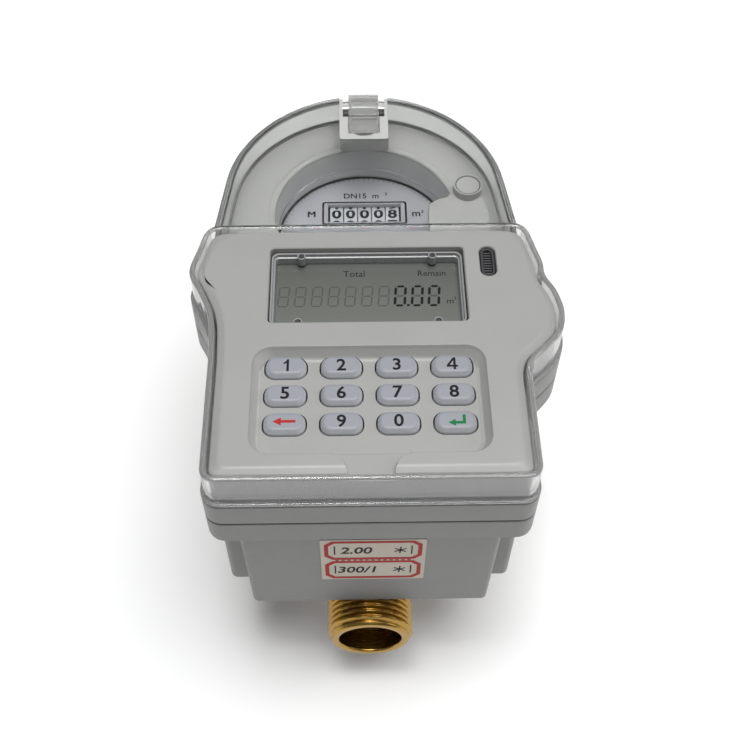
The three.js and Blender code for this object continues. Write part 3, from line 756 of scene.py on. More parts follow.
def clear_plastic(name, clearness, tint, roughness=0.02):
    """Clear moulded plastic with faint handling scratches. A lower clearness is milkier."""
    made = Finish(name, Transmission_Weight=clearness, IOR=1.4)
    cloud = made.noise(70.0, 4.0)
    made.set("Base Color", made.blend(cloud, scaled(tint, 0.98), tint))
    scratch = made.noise(700.0, 6.0, 0.7, made.stretched(1.0, 0.08, 1.0))
    made.set("Roughness", (scratch - 0.45).clamped() * 0.18 + roughness)
    made.set("Normal", made.bump(made.noise(160.0, 2.0), 0.00002, 0.05))
    return made.material


def window_glass():
    made = Finish("window glass", Transmission_Weight=1.0, IOR=1.2)
    dust = made.noise(900.0, 6.0, 0.7)
    made.set("Base Color", made.blend(dust, (0.97, 0.985, 0.98), (0.99, 0.995, 0.995)))
    made.set("Roughness", (dust - 0.5).clamped() * 0.1 + 0.01)
    return made.material


def cast_brass():
    """Sand-cast brass, tumbled, a little darker in its hollows."""
    made = Finish("cast brass", Metallic=1.0)
    cloud = made.noise(60.0, 5.0, 0.65)
    pits = made.noise(1500.0, 4.0, 0.6)
    tone = made.blend(cloud, (0.28, 0.18, 0.065), (0.45, 0.32, 0.135))
    made.set("Base Color", made.blend((pits * 1.6 - 0.75).clamped() * 0.5, tone, (0.22, 0.14, 0.055)))
    made.set("Roughness", pits * 0.2 + cloud * 0.15 + 0.26)
    made.set("Normal", made.bump(pits, 0.00012, 0.55, made.bump(cloud, 0.0004, 0.3)))
    return made.material


def machined_brass():
    """Turned brass with fine tool marks around the pipe."""
    made = Finish("machined brass", Metallic=1.0)
    cloud = made.noise(110.0, 5.0, 0.6)
    rings = made.noise(5200.0, 2.0, 0.5, made.stretched(0.02, 1.0, 0.02))
    made.set("Base Color", made.blend(cloud, (0.306, 0.176, 0.039), (0.44, 0.28, 0.075)))
    made.set("Roughness", rings * 0.16 + cloud * 0.12 + 0.13)
    made.set("Normal", made.bump(rings, 0.00002, 0.5))
    return made.material


def satin_metal(name, color, roughness=0.3):
    made = Finish(name, Metallic=1.0)
    brushed = made.noise(2600.0, 3.0, 0.6, made.stretched(0.05, 1.0, 1.0))
    cloud = made.noise(120.0, 3.0)
    made.set("Base Color", made.blend(cloud, scaled(color, 0.92), color))
    made.set("Roughness", (brushed - 0.5) * 0.2 + roughness)
    made.set("Normal", made.bump(brushed, 0.000008, 0.4))
    return made.material


def rubber():
    made = Finish("black rubber", IOR=1.5)
    dust = made.noise(800.0, 6.0, 0.7)
    made.set("Base Color", made.blend(dust, (0.018, 0.018, 0.019), (0.05, 0.05, 0.05)))
    made.set("Roughness", dust * 0.25 + 0.6)
    made.set("Normal", made.bump(made.noise(3000.0, 3.0), 0.00003, 0.5))
    return made.material


def display_film():
    """Grey-green reflective film behind the display's cover glass, with the frame's shadow painted in towards
    the back.
    """
    made = Finish("display film", Coat_Weight=1.0, Coat_Roughness=0.03, IOR=1.5)
    cloud = made.noise(38.0, 2.0)
    speck = made.noise(9000.0, 1.0)
    depth = Value(made.tree, made.add("ShaderNodeSeparateXYZ", Vector=made.place).outputs["Y"])
    fading = 30.0
    # Painted shadow: the film darkens from the front of the window towards the back, where the frame casts
    # its shadow.
    slope = ((depth - WINDOW[2] * METRES) * fading).clamped()
    frame_shadowed_film = made.blend(slope, (0.115, 0.125, 0.106), (0.05, 0.052, 0.048))
    made.set("Base Color", made.blend((cloud * 0.5 + speck * 0.3).clamped() * 0.3, frame_shadowed_film, (0.15, 0.16, 0.14)))
    made.set("Roughness", cloud * 0.1 + 0.35)
    return made.material


def printing_ink(name, color, roughness=0.5):
    made = Finish(name, Specular_IOR_Level=0.15)
    patch = made.noise(1800.0, 3.0)
    made.set("Base Color", made.blend(patch, scaled(color, 0.85), scaled(color, 1.12)))
    made.set("Roughness", (patch - 0.5) * 0.15 + roughness)
    return made.material


def paper(name, color):
    made = Finish(name, IOR=1.4)
    fibre = made.noise(3500.0, 5.0, 0.7, made.stretched(1.0, 1.0, 0.25))
    cloud = made.noise(90.0, 3.0)
    amount = (fibre * 0.6 + cloud * 0.4).clamped()
    made.set("Base Color", made.blend(amount, scaled(color, 0.9), color))
    made.set("Roughness", fibre * 0.12 + 0.5)
    made.set("Normal", made.bump(cloud, 0.00015, 0.4, made.bump(fibre, 0.00001, 0.4)))
    return made.material


def circuit_board():
    """Green solder mask with copper tracks showing faintly."""
    made = Finish("circuit board", Coat_Weight=0.5, Coat_Roughness=0.2)
    bricks = made.add("ShaderNodeTexBrick", Vector=made.place, Scale=260.0)
    track = Value(made.tree, bricks.outputs["Fac"])
    cloud = made.noise(300.0, 3.0)
    base = made.blend(cloud, (0.012, 0.07, 0.03), (0.02, 0.1, 0.045))
    made.set("Base Color", made.blend(track * 0.6, base, (0.05, 0.19, 0.08)))
    made.set("Roughness", cloud * 0.1 + 0.35)
    made.set("Normal", made.bump(track, 0.00003, 0.4))
    return made.material


# Painted shade: the casing's grey is darker than the panel's, so that its faces turned to the front read as
# shaded.
CASE_PAINTED_SHADE = moulded("casing plastic, painted shade", (0.208, 0.207, 0.202), 0.42)
# Painted light: a lighter copy of the grey plastic for the deck and the parts on it, making up for the shade
# under the clear cover.
DECK_PAINTED_LIGHT = moulded("deck plastic, painted light", (0.48, 0.48, 0.465), 0.4)
# Painted light: a near-white copy of the grey plastic for the register well's wall, which lies deep in shade
# under the cover.
WELL_PAINTED_LIGHT = moulded("well plastic, painted light", (0.82, 0.815, 0.81), 0.38)
# Painted shade: the lower casing is darkened the same way, so that its front block reads as shaded.
LOWER_PAINTED_SHADE = moulded("lower casing plastic, painted shade", (0.205, 0.204, 0.198), 0.45)
FASCIA = moulded("panel plastic", (0.291, 0.289, 0.281), 0.36)
# Painted light: a lighter copy of the panel's grey for the keypad tray's walls, so that they don't read as
# shaded.
TRAY_WALL_PAINTED_LIGHT = moulded("tray wall plastic, painted light", (0.37, 0.368, 0.358), 0.36)
KEY = key_plastic()
WHITE = moulded("white plastic", (0.74, 0.75, 0.79), 0.4, 7000.0, 0.000006, 0.02)
DIAL = moulded("dial face", (0.59, 0.585, 0.63), 0.4, 9000.0, 0.000003, 0.015)
DARK = moulded("dark plastic", (0.035, 0.035, 0.038), 0.45)
PORT_DARK = moulded("port plastic", (0.075, 0.075, 0.078), 0.3, 8000.0, 0.000004, 0.05, 0.4)
RED = moulded("red plastic", (0.56, 0.03, 0.03), 0.35, 8000.0, 0.000004, 0.04, 0.3)
CLEAR = clear_plastic("clear plastic", 1.0, (0.985, 0.99, 0.985))
RIM = clear_plastic("clear rim plastic", 0.8, (0.8, 0.805, 0.795), 0.02)
FROSTED = clear_plastic("frosted plastic", 0.72, (0.72, 0.725, 0.71), 0.14)
POCKET = clear_plastic("pocket plastic", 0.25, (0.6, 0.605, 0.59), 0.35)
GLASS = window_glass()
BRASS_CAST = cast_brass()
BRASS = machined_brass()
STEEL = satin_metal("satin steel", (0.62, 0.62, 0.61))
BEZEL = moulded("display frame", (0.24, 0.242, 0.245), 0.28, 9000.0, 0.000003, 0.02, 0.4)
RUBBER = rubber()
DISPLAY = display_film()
SEGMENT = printing_ink("dark segment", (0.012, 0.013, 0.013), 0.3)
GHOST = printing_ink("unlit segment", (0.075, 0.08, 0.07), 0.3)
INK = printing_ink("black ink", (0.008, 0.008, 0.01))
RED_INK = printing_ink("red ink", (0.36, 0.02, 0.018))
GREEN_INK = printing_ink("green ink", (0.008, 0.15, 0.05))
STICKER = paper("sticker paper", (0.55, 0.495, 0.415))
BOARD = circuit_board()

SLOT_FINISHES = {
    "brass": BRASS_CAST, "white_plastic": WHITE, "steel": STEEL, "dark_plastic": DARK, "red_plastic": RED,
    "rubber": RUBBER, "clear_plastic": CLEAR, "grey_plastic": CASE_PAINTED_SHADE, "label_film": STICKER, "display": DISPLAY,
    "circuit_board": BOARD, "key_plastic": KEY,
}


def dress_carried_nodes():
    """Every CAD node takes the material of its slot. Those that a piece stands for are hidden later."""
    for part in frame["record"]["subparts"]:
        node = frame["nodes"][part["node"]]
        node.data.materials.clear()
        node.data.materials.append(SLOT_FINISHES[part["material_slot"]])


# ---------------------------------------------------------------- brass body


def cast_body():
    """Bowl, barrel and valve housing, melted together at their junctions as in a casting."""
    bowl_profile = [
        (0, 0), (26, 0), (27.5, 1.5), (27.5, 4), (33, 9), (36.6, 16), (BOWL_R, 24), (BOWL_R, 62),
        (33, 62), (33, 15), (27, 7), (0, 7),
    ]
    barrel_profile = [
        (0, -100), (12, -100), (12, -75), (13.3, -72), (13.3, -38), (12.4, -35), (12.4, -28), (0, -28),
    ]
    housing_profile = [(0, 13.5), (12, 13.5), (HOUSING_R, 17), (HOUSING_R, 50.3), (0, 50.3)]
    bowl = turned(softened(bowl_profile, 1.2))
    barrel = along_y(turned(barrel_profile))
    stub = along_y(turned([(0, 30), (13.5, 30), (12.4, 41), (0, 41)]))
    housing = turned(softened(housing_profile, 0.8), at=(0, VALVE_Y))
    foot = prism(rounded_box(-7, 7, VALVE_Y - 8, VALVE_Y + 8, 1.5), 0, 20)
    casting = fused(bowl, barrel, stub, housing, foot)
    grid = casting.modifiers.new("grid", "REMESH")
    grid.mode = "VOXEL"
    grid.voxel_size = 0.85
    soft = casting.modifiers.new("soft", "SMOOTH")
    soft.factor = 0.5
    soft.iterations = 5
    melted = evaluated_mesh(casting)
    casting.modifiers.clear()
    casting.data = melted
    bore_r = BORE_R + 0.05
    bore = along_y(turned([(0, -110), (bore_r, -110), (bore_r, -29), (0, -29)]))
    back_bore = along_y(turned([(0, 29), (bore_r, 29), (bore_r, 60), (0, 60)]))
    chamber = turned([(0, 19.5), (12.2, 19.5), (12.2, 52), (0, 52)], at=(0, VALVE_Y))
    return paint(cut(casting, bore, back_bore, chamber), BRASS_CAST)


def thread_radius(distance, turn):
    """Radius of the thread at a distance from the nozzle's mouth, at a share of one turn."""
    start, stop = 1.0, THREAD_LENGTH
    phase = (distance - start) / THREAD_PITCH - turn
    ramp = abs(2 * (phase - math.floor(phase + 0.5)))
    flank_height = min(max((ramp - 0.12) / 0.72, 0.0), 1.0)
    run_in = min(max((distance - start + 0.4) / 1.2, 0.0), 1.0)
    run_out = min(max((stop - distance) / 1.6, 0.0), 1.0)
    return THREAD_ROOT + (THREAD_R - THREAD_ROOT) * flank_height * run_in * run_out


def nozzle(mouth, inwards, length):
    """A threaded nozzle with a helical thread, turned mouth and bored water way."""
    steps, circle = 110, 120
    lead = 0.5
    mouth_profile = [
        (BORE_R, length), (BORE_R, 0.8), (BORE_R + 0.15, 0.25),
        (BORE_R + 0.5, 0.0), (11.4, 0.0), (11.7, 0.12),
    ]

    def ring(radii, distance):
        points = []
        for k, radius in enumerate(radii):
            angle = 2 * math.pi * k / circle
            across, up = radius * math.cos(angle), radius * math.sin(angle)
            points.append((across, mouth + inwards * distance, PIPE_Z + up))
        return points

    rings = [ring([radius] * circle, distance) for radius, distance in mouth_profile]
    for i in range(steps + 1):
        distance = lead + THREAD_LENGTH * i / steps
        rings.append(ring([thread_radius(distance, k / circle) for k in range(circle)], distance))
    rings.append(ring([12.0] * circle, THREAD_LENGTH + 1.3))
    rings.append(ring([12.05] * circle, length))
    return paint(loft(rings, cyclic=True), BRASS)


def make_brass_body():
    body = together(cast_body(), nozzle(PIPE_FRONT, 1, 18.0), nozzle(PIPE_BACK, -1, 16.0))
    finish(body, "brass_body", "meter", ["meter_body"], 40)


# ---------------------------------------------------------------- casing


def make_lower_case():
    """Deep tub with a front block, under a wider band that follows the whole outline."""
    def block_outline(grow):
        inset = min(grow, 0)
        half = BLOCK_HALF + grow
        return rounded_box(-half, half, BLOCK_FRONT - inset, -88, 1.8 + inset)

    tub_top = BAND_BOTTOM + 1.5
    band_edge = [(-1.0, BAND_BOTTOM), (BAND_GROW, BAND_BOTTOM), (BAND_GROW, SEAM), (-1.0, SEAM)]
    block = swept(block_outline, softened([(-1.2, TUB_BOTTOM), (0, TUB_BOTTOM), (0.8, tub_top)], 0.9))
    tub = swept(tub_outline, softened([(-1.2, TUB_BOTTOM), (0, TUB_BOTTOM), (0, tub_top)], 0.9))
    band = swept(case_outline, softened(band_edge, 0.55))
    floor = TUB_BOTTOM + WALL
    case = fused(band, tub, block)
    case = cut(
        case,
        prism(tub_outline(-WALL), floor, 99),
        prism(rounded_box(-33, 33, -106.5, -88, 1), floor, 99),
        prism(case_outline(BAND_GROW - WALL), BAND_BOTTOM + WALL, 99.5),
        turned([(0, 40), (BOWL_R + 0.8, 40), (BOWL_R + 0.8, 50), (0, 50)]),
        turned([(0, 40), (HOUSING_R + 0.7, 40), (HOUSING_R + 0.7, 50), (0, 50)], at=(0, VALVE_Y)),
        box(-9, 9, VALVE_Y, 0, 40, 50),
    )
    # The lower casing's darker grey is painted shade on its front faces.
    finish(paint(case, LOWER_PAINTED_SHADE), "lower_casing", "meter", ["lower_case"])


def make_gasket():
    low, high = SEAM + 0.02, UPPER_BOTTOM - 0.02
    ring = swept(case_outline, [(0.25, low), (0.25, high), (-1.4, high), (-1.4, low)], cyclic=True)
    finish(paint(ring, RUBBER), "seam_gasket", "meter", ["case_gasket"])


def make_upper_case():
    """Band, sunk deck and register well. The band's wall behind the panel is clear."""
    def whole_wall():
        profile = [(BAND_GROW, UPPER_BOTTOM), (BAND_GROW, RIDGE), (-0.3, RIDGE), (-0.3, UPPER_BOTTOM)]
        return swept(case_outline, softened(profile, 0.5, cyclic=True), cyclic=True)

    def behind_panel():
        return box(-FAR, FAR, PANEL_BACK + 1, FAR, PANEL_FOOT, OVER)

    wall = cut(whole_wall(), behind_panel())
    clear_wall = common(whole_wall(), behind_panel())
    deck = cut(
        prism(case_outline(-0.28), DECK_TOP - 2.2, DECK_TOP),
        turned([(0, 90), (WELL_R + 2.2, 90), (WELL_R + 2.2, 100), (0, 100)]),
        prism(rounded_box(-31, 31, -101, -42, 4), 90, 100),
    )
    lip_top, lip_bottom = DECK_TOP + 0.02, DECK_TOP - 1.6
    lip = [
        (WELL_R + 2, 85.0), (WELL_R, 85.0), (WELL_R, lip_top),
        (WELL_R + 2.6, lip_top), (WELL_R + 2.6, lip_bottom), (WELL_R + 2, lip_bottom),
    ]
    well = paint(turned(softened(lip, 0.9, cyclic=True), 160, cyclic=True), WELL_PAINTED_LIGHT)
    # Painted light: the well's wall takes the near-white copy of the grey and its top the deck's lighter
    # copy.
    well.data.materials.append(DECK_PAINTED_LIGHT)
    for face in well.data.polygons:
        face.material_index = int(face.center.z > DECK_TOP - 0.8)
    case = together(paint(wall, CASE_PAINTED_SHADE), paint(clear_wall, RIM), paint(deck, DECK_PAINTED_LIGHT), well)
    finish(case, "upper_casing", "meter", ["upper_case"])


def make_case_screws():
    """Pan head screws with a slot, up into the casing from below."""
    places = [(-39.2, -104.6), (39.2, -104.6), (-46.2, -41.5), (46.2, -41.5)]
    profile = [(0, -2.0), (1.7, -2.0), (2.4, -1.3), (2.4, 0.15), (1.2, 0.15), (1.2, 8.6), (0, 8.6)]
    screws = []
    for x, y in places:
        screw = turned(softened(profile, 0.5), 28)
        slot = box(-1.6, 1.6, -0.3, 0.3, -3, -1.2)
        screws.append(moved(cut(screw, slot), x, y, BAND_BOTTOM - 0.2))
    names = ["case_screw_%d" % (i + 1) for i in range(len(places))]
    finish(paint(together(*screws), STEEL), "case_screws", "meter", names)


def octagon(half, low, high, corner):
    """A box outline with its corners cut off."""
    return [
        (-half + corner, low), (half - corner, low), (half, low + corner), (half, high - corner),
        (half - corner, high), (-half + corner, high), (-half, high - corner), (-half, low + corner),
    ]


def make_front_label():
    """Two stacked paper stickers with red frames and hand-written numbers."""
    paper_top, ink_low, ink_high = 0.26, 0.24, 0.31
    parts = [flat_shape(rounded_box(-14.8, 14.8, 59.6, 84.6, 0.5), 0, paper_top, STICKER)]

    def mark(x_low, x_high, y_low, y_high, material):
        return flat_shape(rounded_box(x_low, x_high, y_low, y_high, 0.15), ink_low, ink_high, material)

    half, line = 13.7, 1.15
    for low, words in ((60.3, "300/1"), (72.6, "2.00")):
        high = low + 11.3
        middle = (low + high) / 2
        outer = octagon(half, low, high, 2.2)
        inner = octagon(half - line, low + line, high - line, 1.7)
        parts.append(flat_frame(outer, inner, ink_low, ink_high + 0.01, RED_INK))
        parts.append(moved(lettering(words, 4.0, 0.1, INK, 0.15, 0.95), -4.6, middle, paper_top))
        for turn in (0.5, -0.6, 1.5):
            stroke = mark(-1.9, 1.9, -0.22, 0.22, INK)
            stroke.data.transform(Matrix.Rotation(turn, 4, "Z"))
            parts.append(moved(stroke, 7.6, middle))
        for x in (-10.8, 10.8):
            parts.append(mark(x - 0.2, x + 0.2, low + 3.2, high - 3, INK))
    for i in range(13):
        x = (i - 6) * 1.7
        parts.append(mark(x - 0.5, x + 0.5, 71.85, 72.35, RED_INK))
    label = face_front(moved(together(*parts), 0.7), BLOCK_FRONT - 0.02)
    finish(label, "front_stickers", "meter", ["front_label"])


# ---------------------------------------------------------------- panel


def tray_cutter():
    """The keypad tray: sloped walls, rounded top edge and a filleted floor."""
    def ring(share, grow):
        half = 29.8 + 1.5 * share
        return rounded_box(-half, half, -100.6 - share, -69.4 + 1.3 * share, 4.6 + 0.6 * share, grow)

    rings = [
        level(ring(share, grow), TRAY_FLOOR + rise)
        for share, grow, rise in ((0, -1.1, 0.0), (0, -0.45, 0.12), (0.05, -0.1, 0.5))
    ]
    wall = FASCIA_TOP - TRAY_FLOOR - 1.1
    for i in range(1, 8):
        share = i / 8
        rings.append(level(ring(share, 0), TRAY_FLOOR + 0.5 + wall * share))
    for grow, drop in ((0.02, 0.4), (0.09, 0.18), (0.2, 0.05), (0.4, 0.0), (0.8, -0.3)):
        rings.append(level(ring(1, grow), FASCIA_TOP - drop))
    return loft(rings)


def drain_cutter():
    """A shallow channel with S-shaped sides from the tray to the front edge."""
    side = [
        (5.9, -111), (6.0, -108), (6.1, -106.4), (6.3, -105.2),
        (6.8, -103.9), (8.0, -102.8), (10.0, -102.0), (10.0, -99.5),
    ]
    right = smooth_curve([Vector(point) for point in side], 5)

    def ring(grow):
        return [(p.x + grow, p.y) for p in right] + [(-p.x - grow, p.y) for p in reversed(right)]

    profile = [
        (-0.5, 115.9), (-0.1, 115.95), (0.0, 116.2), (0.03, 118.0),
        (0.12, 118.35), (0.35, 118.5), (0.8, 118.8),
    ]
    return loft([level(ring(grow), z) for grow, z in profile])


def window_cutter():
    profile = [(0, 110), (0, 117.9), (0.12, 118.25), (0.4, 118.46), (0.8, 118.8)]
    return loft([level(rounded_box(*WINDOW, 1.2, grow), z) for grow, z in profile])


def stadium(grow):
    x, y = PORT
    half, reach = PORT_SIZE[0] / 2 + grow, PORT_SIZE[1] / 2 + grow
    return rounded_box(x - half, x + half, y - reach, y + reach, half, 0, 12)


def port_cutter():
    profile = [(0, 110), (0, 118.0), (0.1, 118.3), (0.35, 118.55), (0.6, 118.8)]
    return loft([level(stadium(grow), z) for grow, z in profile])


def key_places():
    """Name, legend and centre of every key, from the top left."""
    for i, (name, legend) in enumerate(KEYS):
        yield name, legend, (i % 4 - 1.5) * KEY_PITCH[0], KEY_TOP_ROW - (i // 4) * KEY_PITCH[1]


def key_outline(x, y, grow):
    half_x, half_y = KEY_SIZE[0] / 2, KEY_SIZE[1] / 2
    return rounded_box(x - half_x, x + half_x, y - half_y, y + half_y, KEY_CORNER, grow)


def make_panel():
    """The grey panel with its sunk tray, drain, display window and optical port."""
    base = panel_outline(-2.2, PANEL_BACK - 2.2, 5.0, 2.2)
    top = panel_outline(-4.3, PANEL_BACK - 2.7, 11.0, 2.6)
    slope = 2.2
    edge = [(0, PANEL_FOOT), (0, FASCIA_TOP - 0.9), (slope, FASCIA_TOP), (slope + 1.0, FASCIA_TOP)]
    rings = []
    for run, z in softened(edge, 0.5):
        share = run / slope
        between = [(a[0] + (b[0] - a[0]) * share, a[1] + (b[1] - a[1]) * share) for a, b in zip(base, top)]
        rings.append(level(between, z))
    hollow = cut(
        prism(panel_outline(-4.8, PANEL_BACK - 4.2, 4.0), 95, FASCIA_TOP - 3.2),
        prism(rounded_box(-33.5, 33.5, -103.2, -65.5, 6), TRAY_UNDERSIDE, OVER),
        prism(rounded_box(-29.3, 29.3, -61, -31.1, 1), 112, OVER),
    )
    key_holes = together(*[prism(key_outline(x, y, 0.42), 109, 115) for _, _, x, y in key_places()])
    openings = together(window_cutter(), port_cutter())
    panel = cut(loft(rings), hollow, tray_cutter(), drain_cutter(), openings, key_holes)
    paint(panel, FASCIA)
    # Painted light: the tray's walls take the lighter copy of the panel's grey.
    panel.data.materials.append(TRAY_WALL_PAINTED_LIGHT)
    # Painted shade: the drain's walls take the darker casing grey.
    panel.data.materials.append(CASE_PAINTED_SHADE)
    tray_half, tray_back, tray_front, drain_half = 31.6, -67.9, -101.8, 10.5
    for face in panel.data.polygons:
        x, y, z = face.center
        if face.normal.z > 0.75 or not TRAY_FLOOR < z < FASCIA_TOP - 0.2:
            continue
        if abs(x) < drain_half and y < tray_front:
            face.material_index = 2
        elif abs(x) < tray_half and tray_front < y < tray_back:
            face.material_index = 1
    finish(panel, "panel", "meter", ["fascia"])


def make_optical_port():
    """Dark stadium-shaped window with ribs inside."""
    rim = [(-0.25, 113.5), (-0.25, 117.6), (-0.45, 117.9), (-1.0, 117.9), (-1.15, 116.6), (-1.15, 113.5)]
    shell = loft([level(stadium(g), z) for g, z in rim], cyclic=True)
    floor = prism(stadium(-1.1), 113.6, 116.4)
    ribs = moved(row_of_bars(PORT_DARK, 9, 0.95, (2.2, 0.35, 1.0)), PORT[0], PORT[1], 116.8)
    port = together(paint(shell, DARK), paint(floor, PORT_DARK), ribs)
    finish(port, "optical_port_insert", "meter", ["optical_port"])


def segment_digit(x, y, height, lit, unlit):
    """A seven-segment digit. lit is a string of the segments that show dark, from abcdefg."""
    wide, half, thick = height * 0.4 / 2, height / 2, height * (0.11 if lit else 0.06)
    gap, slant = thick * 0.35, 0.08
    bars = {
        "a": ((-wide, half), (wide, half)),
        "d": ((-wide, -half), (wide, -half)),
        "g": ((-wide, 0), (wide, 0)),
        "b": ((wide, half), (wide, 0)),
        "c": ((wide, 0), (wide, -half)),
        "f": ((-wide, half), (-wide, 0)),
        "e": ((-wide, 0), (-wide, -half)),
    }
    parts = []
    for name, ends in bars.items():
        material = SEGMENT if name in lit else unlit
        start, stop = [Vector(end) for end in ends]
        along = (stop - start).normalized()
        across = Vector((-along.y, along.x)) * thick / 2
        start, stop = start + along * gap, stop - along * gap
        tip = along * thick / 2
        outline = [
            start, start + tip - across, stop - tip - across,
            stop, stop - tip + across, start + tip + across,
        ]
        slanted = [(x + p.x + slant * p.y, y + p.y) for p in outline]
        parts.append(flat_shape(slanted, DISPLAY_TOP - 0.02, DISPLAY_TOP + 0.012, material))
    return parts


def make_display():
    """Display panel with seven unlit digits, a dark 0.00, and its words."""
    parts = [flat_shape(rounded_box(*WINDOW, 1.0, -0.4), 109.8, DISPLAY_TOP, DISPLAY)]
    row, height = -46.4, 7.0
    for i in range(7):
        parts += segment_digit(-24.0 + 4.78 * i, row, height, "", GHOST)
    for x in (9.4, 14.3, 19.1):
        parts += segment_digit(x, row, height, "abcdef", GHOST)
    top, thick = DISPLAY_TOP - 0.005, 0.015
    parts.append(flat_shape(rounded_box(11.2, 12.0, -50.2, -49.4, 0.2), top, top + thick, SEGMENT))
    words = [
        ("Total", 2.2, 0.95, -3.8, -38.0), ("Remain", 2.1, 0.92, 18.8, -38.0),
        ("m", 1.3, 1, 23.6, -48.7), ("3", 1.1, 1, 25.0, -47.4),
    ]
    for word, size, narrow, x, y in words:
        parts.append(moved(lettering(word, size, thick, SEGMENT, 0, narrow, 0.0), x, y, top))
    finish(together(*parts), "display_panel", "meter", ["lcd_glass"])


def make_bezel():
    """Frame around the display, with four moulded posts."""
    frame_profile = [
        (-0.25, 113.2), (-0.25, 116.7), (-0.8, 116.7), (-0.9, 115.6),
        (-1.35, 115.5), (-1.5, 113.5), (-1.5, 113.2),
    ]
    post_profile = [(0, 113.9), (1.25, 113.9), (1.25, 116.9), (0.9, 116.9), (0.85, 116.1), (0, 116.1)]
    hole_profile = [(0, 116.0), (0.86, 116.0), (0.86, 116.4), (0, 116.4)]
    rings = [
        level(rounded_box(*WINDOW, 2.4, grow), z)
        for grow, z in softened(frame_profile, 0.12, cyclic=True, steps=2)
    ]
    parts = [paint(loft(rings, cyclic=True), BEZEL)]
    for x, y in ((-19, -34.3), (19, -34.3), (-19.6, -58.2), (19.6, -58.2)):
        parts.append(moved(paint(turned(softened(post_profile, 0.12), 32), BEZEL), x, y))
        parts.append(moved(paint(turned(hole_profile, 24), DARK), x, y))
    finish(together(*parts), "display_frame", "meter", ["lcd_bezel"])


# ---------------------------------------------------------------- keys


ONE_MARK = [
    (0.2, -1.95), (0.85, -1.95), (0.85, 1.95), (0.4, 1.95),
    (0.05, 1.3), (-0.6, 0.9), (-0.6, 0.35), (0.2, 0.75),
]
FOUR_STROKES = [
    [(0.3, -1.95), (0.95, -1.95), (0.95, 1.95), (0.3, 1.95)],
    [(-1.5, -1.1), (1.5, -1.1), (1.5, -0.5), (-1.5, -0.5)],
    [(-1.5, -0.6), (-0.8, -0.6), (0.85, 1.95), (0.2, 1.95)],
]


MARK_LOW = -0.02
MARK_HIGH = 0.03
KEY_PROFILE = [
    (0, 110.5), (0, 114.7), (-0.3, 115.6), (-0.4, 115.85),
    (-0.56, 116.05), (-0.78, KEY_SHOULDER), (-1.05, 116.29), (-1.4, KEY_TOP),
]


def arrow_left(length, width, head):
    half, thick, barb = length / 2, width / 2, head * 0.55
    neck = -half + head
    return [
        (-half, 0), (neck, -barb), (neck, -thick), (half, -thick),
        (half, thick), (neck, thick), (neck, barb),
    ]


def legend_mark(legend):
    """The mark on a key, which faces +Z about the origin."""
    if legend == "back":
        return flat_shape(arrow_left(6.0, 0.8, 2.2), MARK_LOW, MARK_HIGH, RED_INK)
    if legend == "enter":
        arrow = flat_shape(arrow_left(4.6, 0.8, 1.9), MARK_LOW, MARK_HIGH, GREEN_INK)
        corners = [(1.5, -0.4), (2.3, -0.4), (2.3, 2.4), (1.5, 2.4)]
        tail = flat_shape(corners, MARK_LOW, MARK_HIGH + 0.001, GREEN_INK)
        return moved(together(arrow, tail), 0.2, -0.9)
    if legend == "1":
        return flat_shape(ONE_MARK, MARK_LOW, MARK_HIGH, INK)
    if legend == "4":
        strokes = enumerate(FOUR_STROKES)
        return together(*[flat_shape(stroke, MARK_LOW, MARK_HIGH + 0.002 * i, INK) for i, stroke in strokes])
    return lettering(legend, 3.9, 0.05, INK, 0, 1.02, 0.02)


def make_key(name, legend, x, y):
    """A rounded key cap with its printed mark and the flange under the panel. The flange is black, as painted
    shade in the gap round the key.
    """
    # Painted shade: the flange is black rubber so that the gap round the key reads dark.
    flange_painted_shade = paint(prism(key_outline(x, y, 0.9), 110.4, 111.5), RUBBER)
    cap = paint(loft([level(key_outline(x, y, grow), z) for grow, z in KEY_PROFILE]), KEY)
    mark = moved(legend_mark(legend), x, y, KEY_TOP + 0.01)
    finish(together(flange_painted_shade, cap, mark), name + "_cap", name, [name], 35)


def make_keypad():
    for name, legend, x, y in key_places():
        make_key(name, legend, x, y)


# ---------------------------------------------------------------- register


def tick_ring(centre, radius, count, length, width):
    ring = ring_of_bars(INK, count, radius, width, length, 0.04)
    return moved(ring, centre[0], centre[1], DIAL_TOP + 0.02)


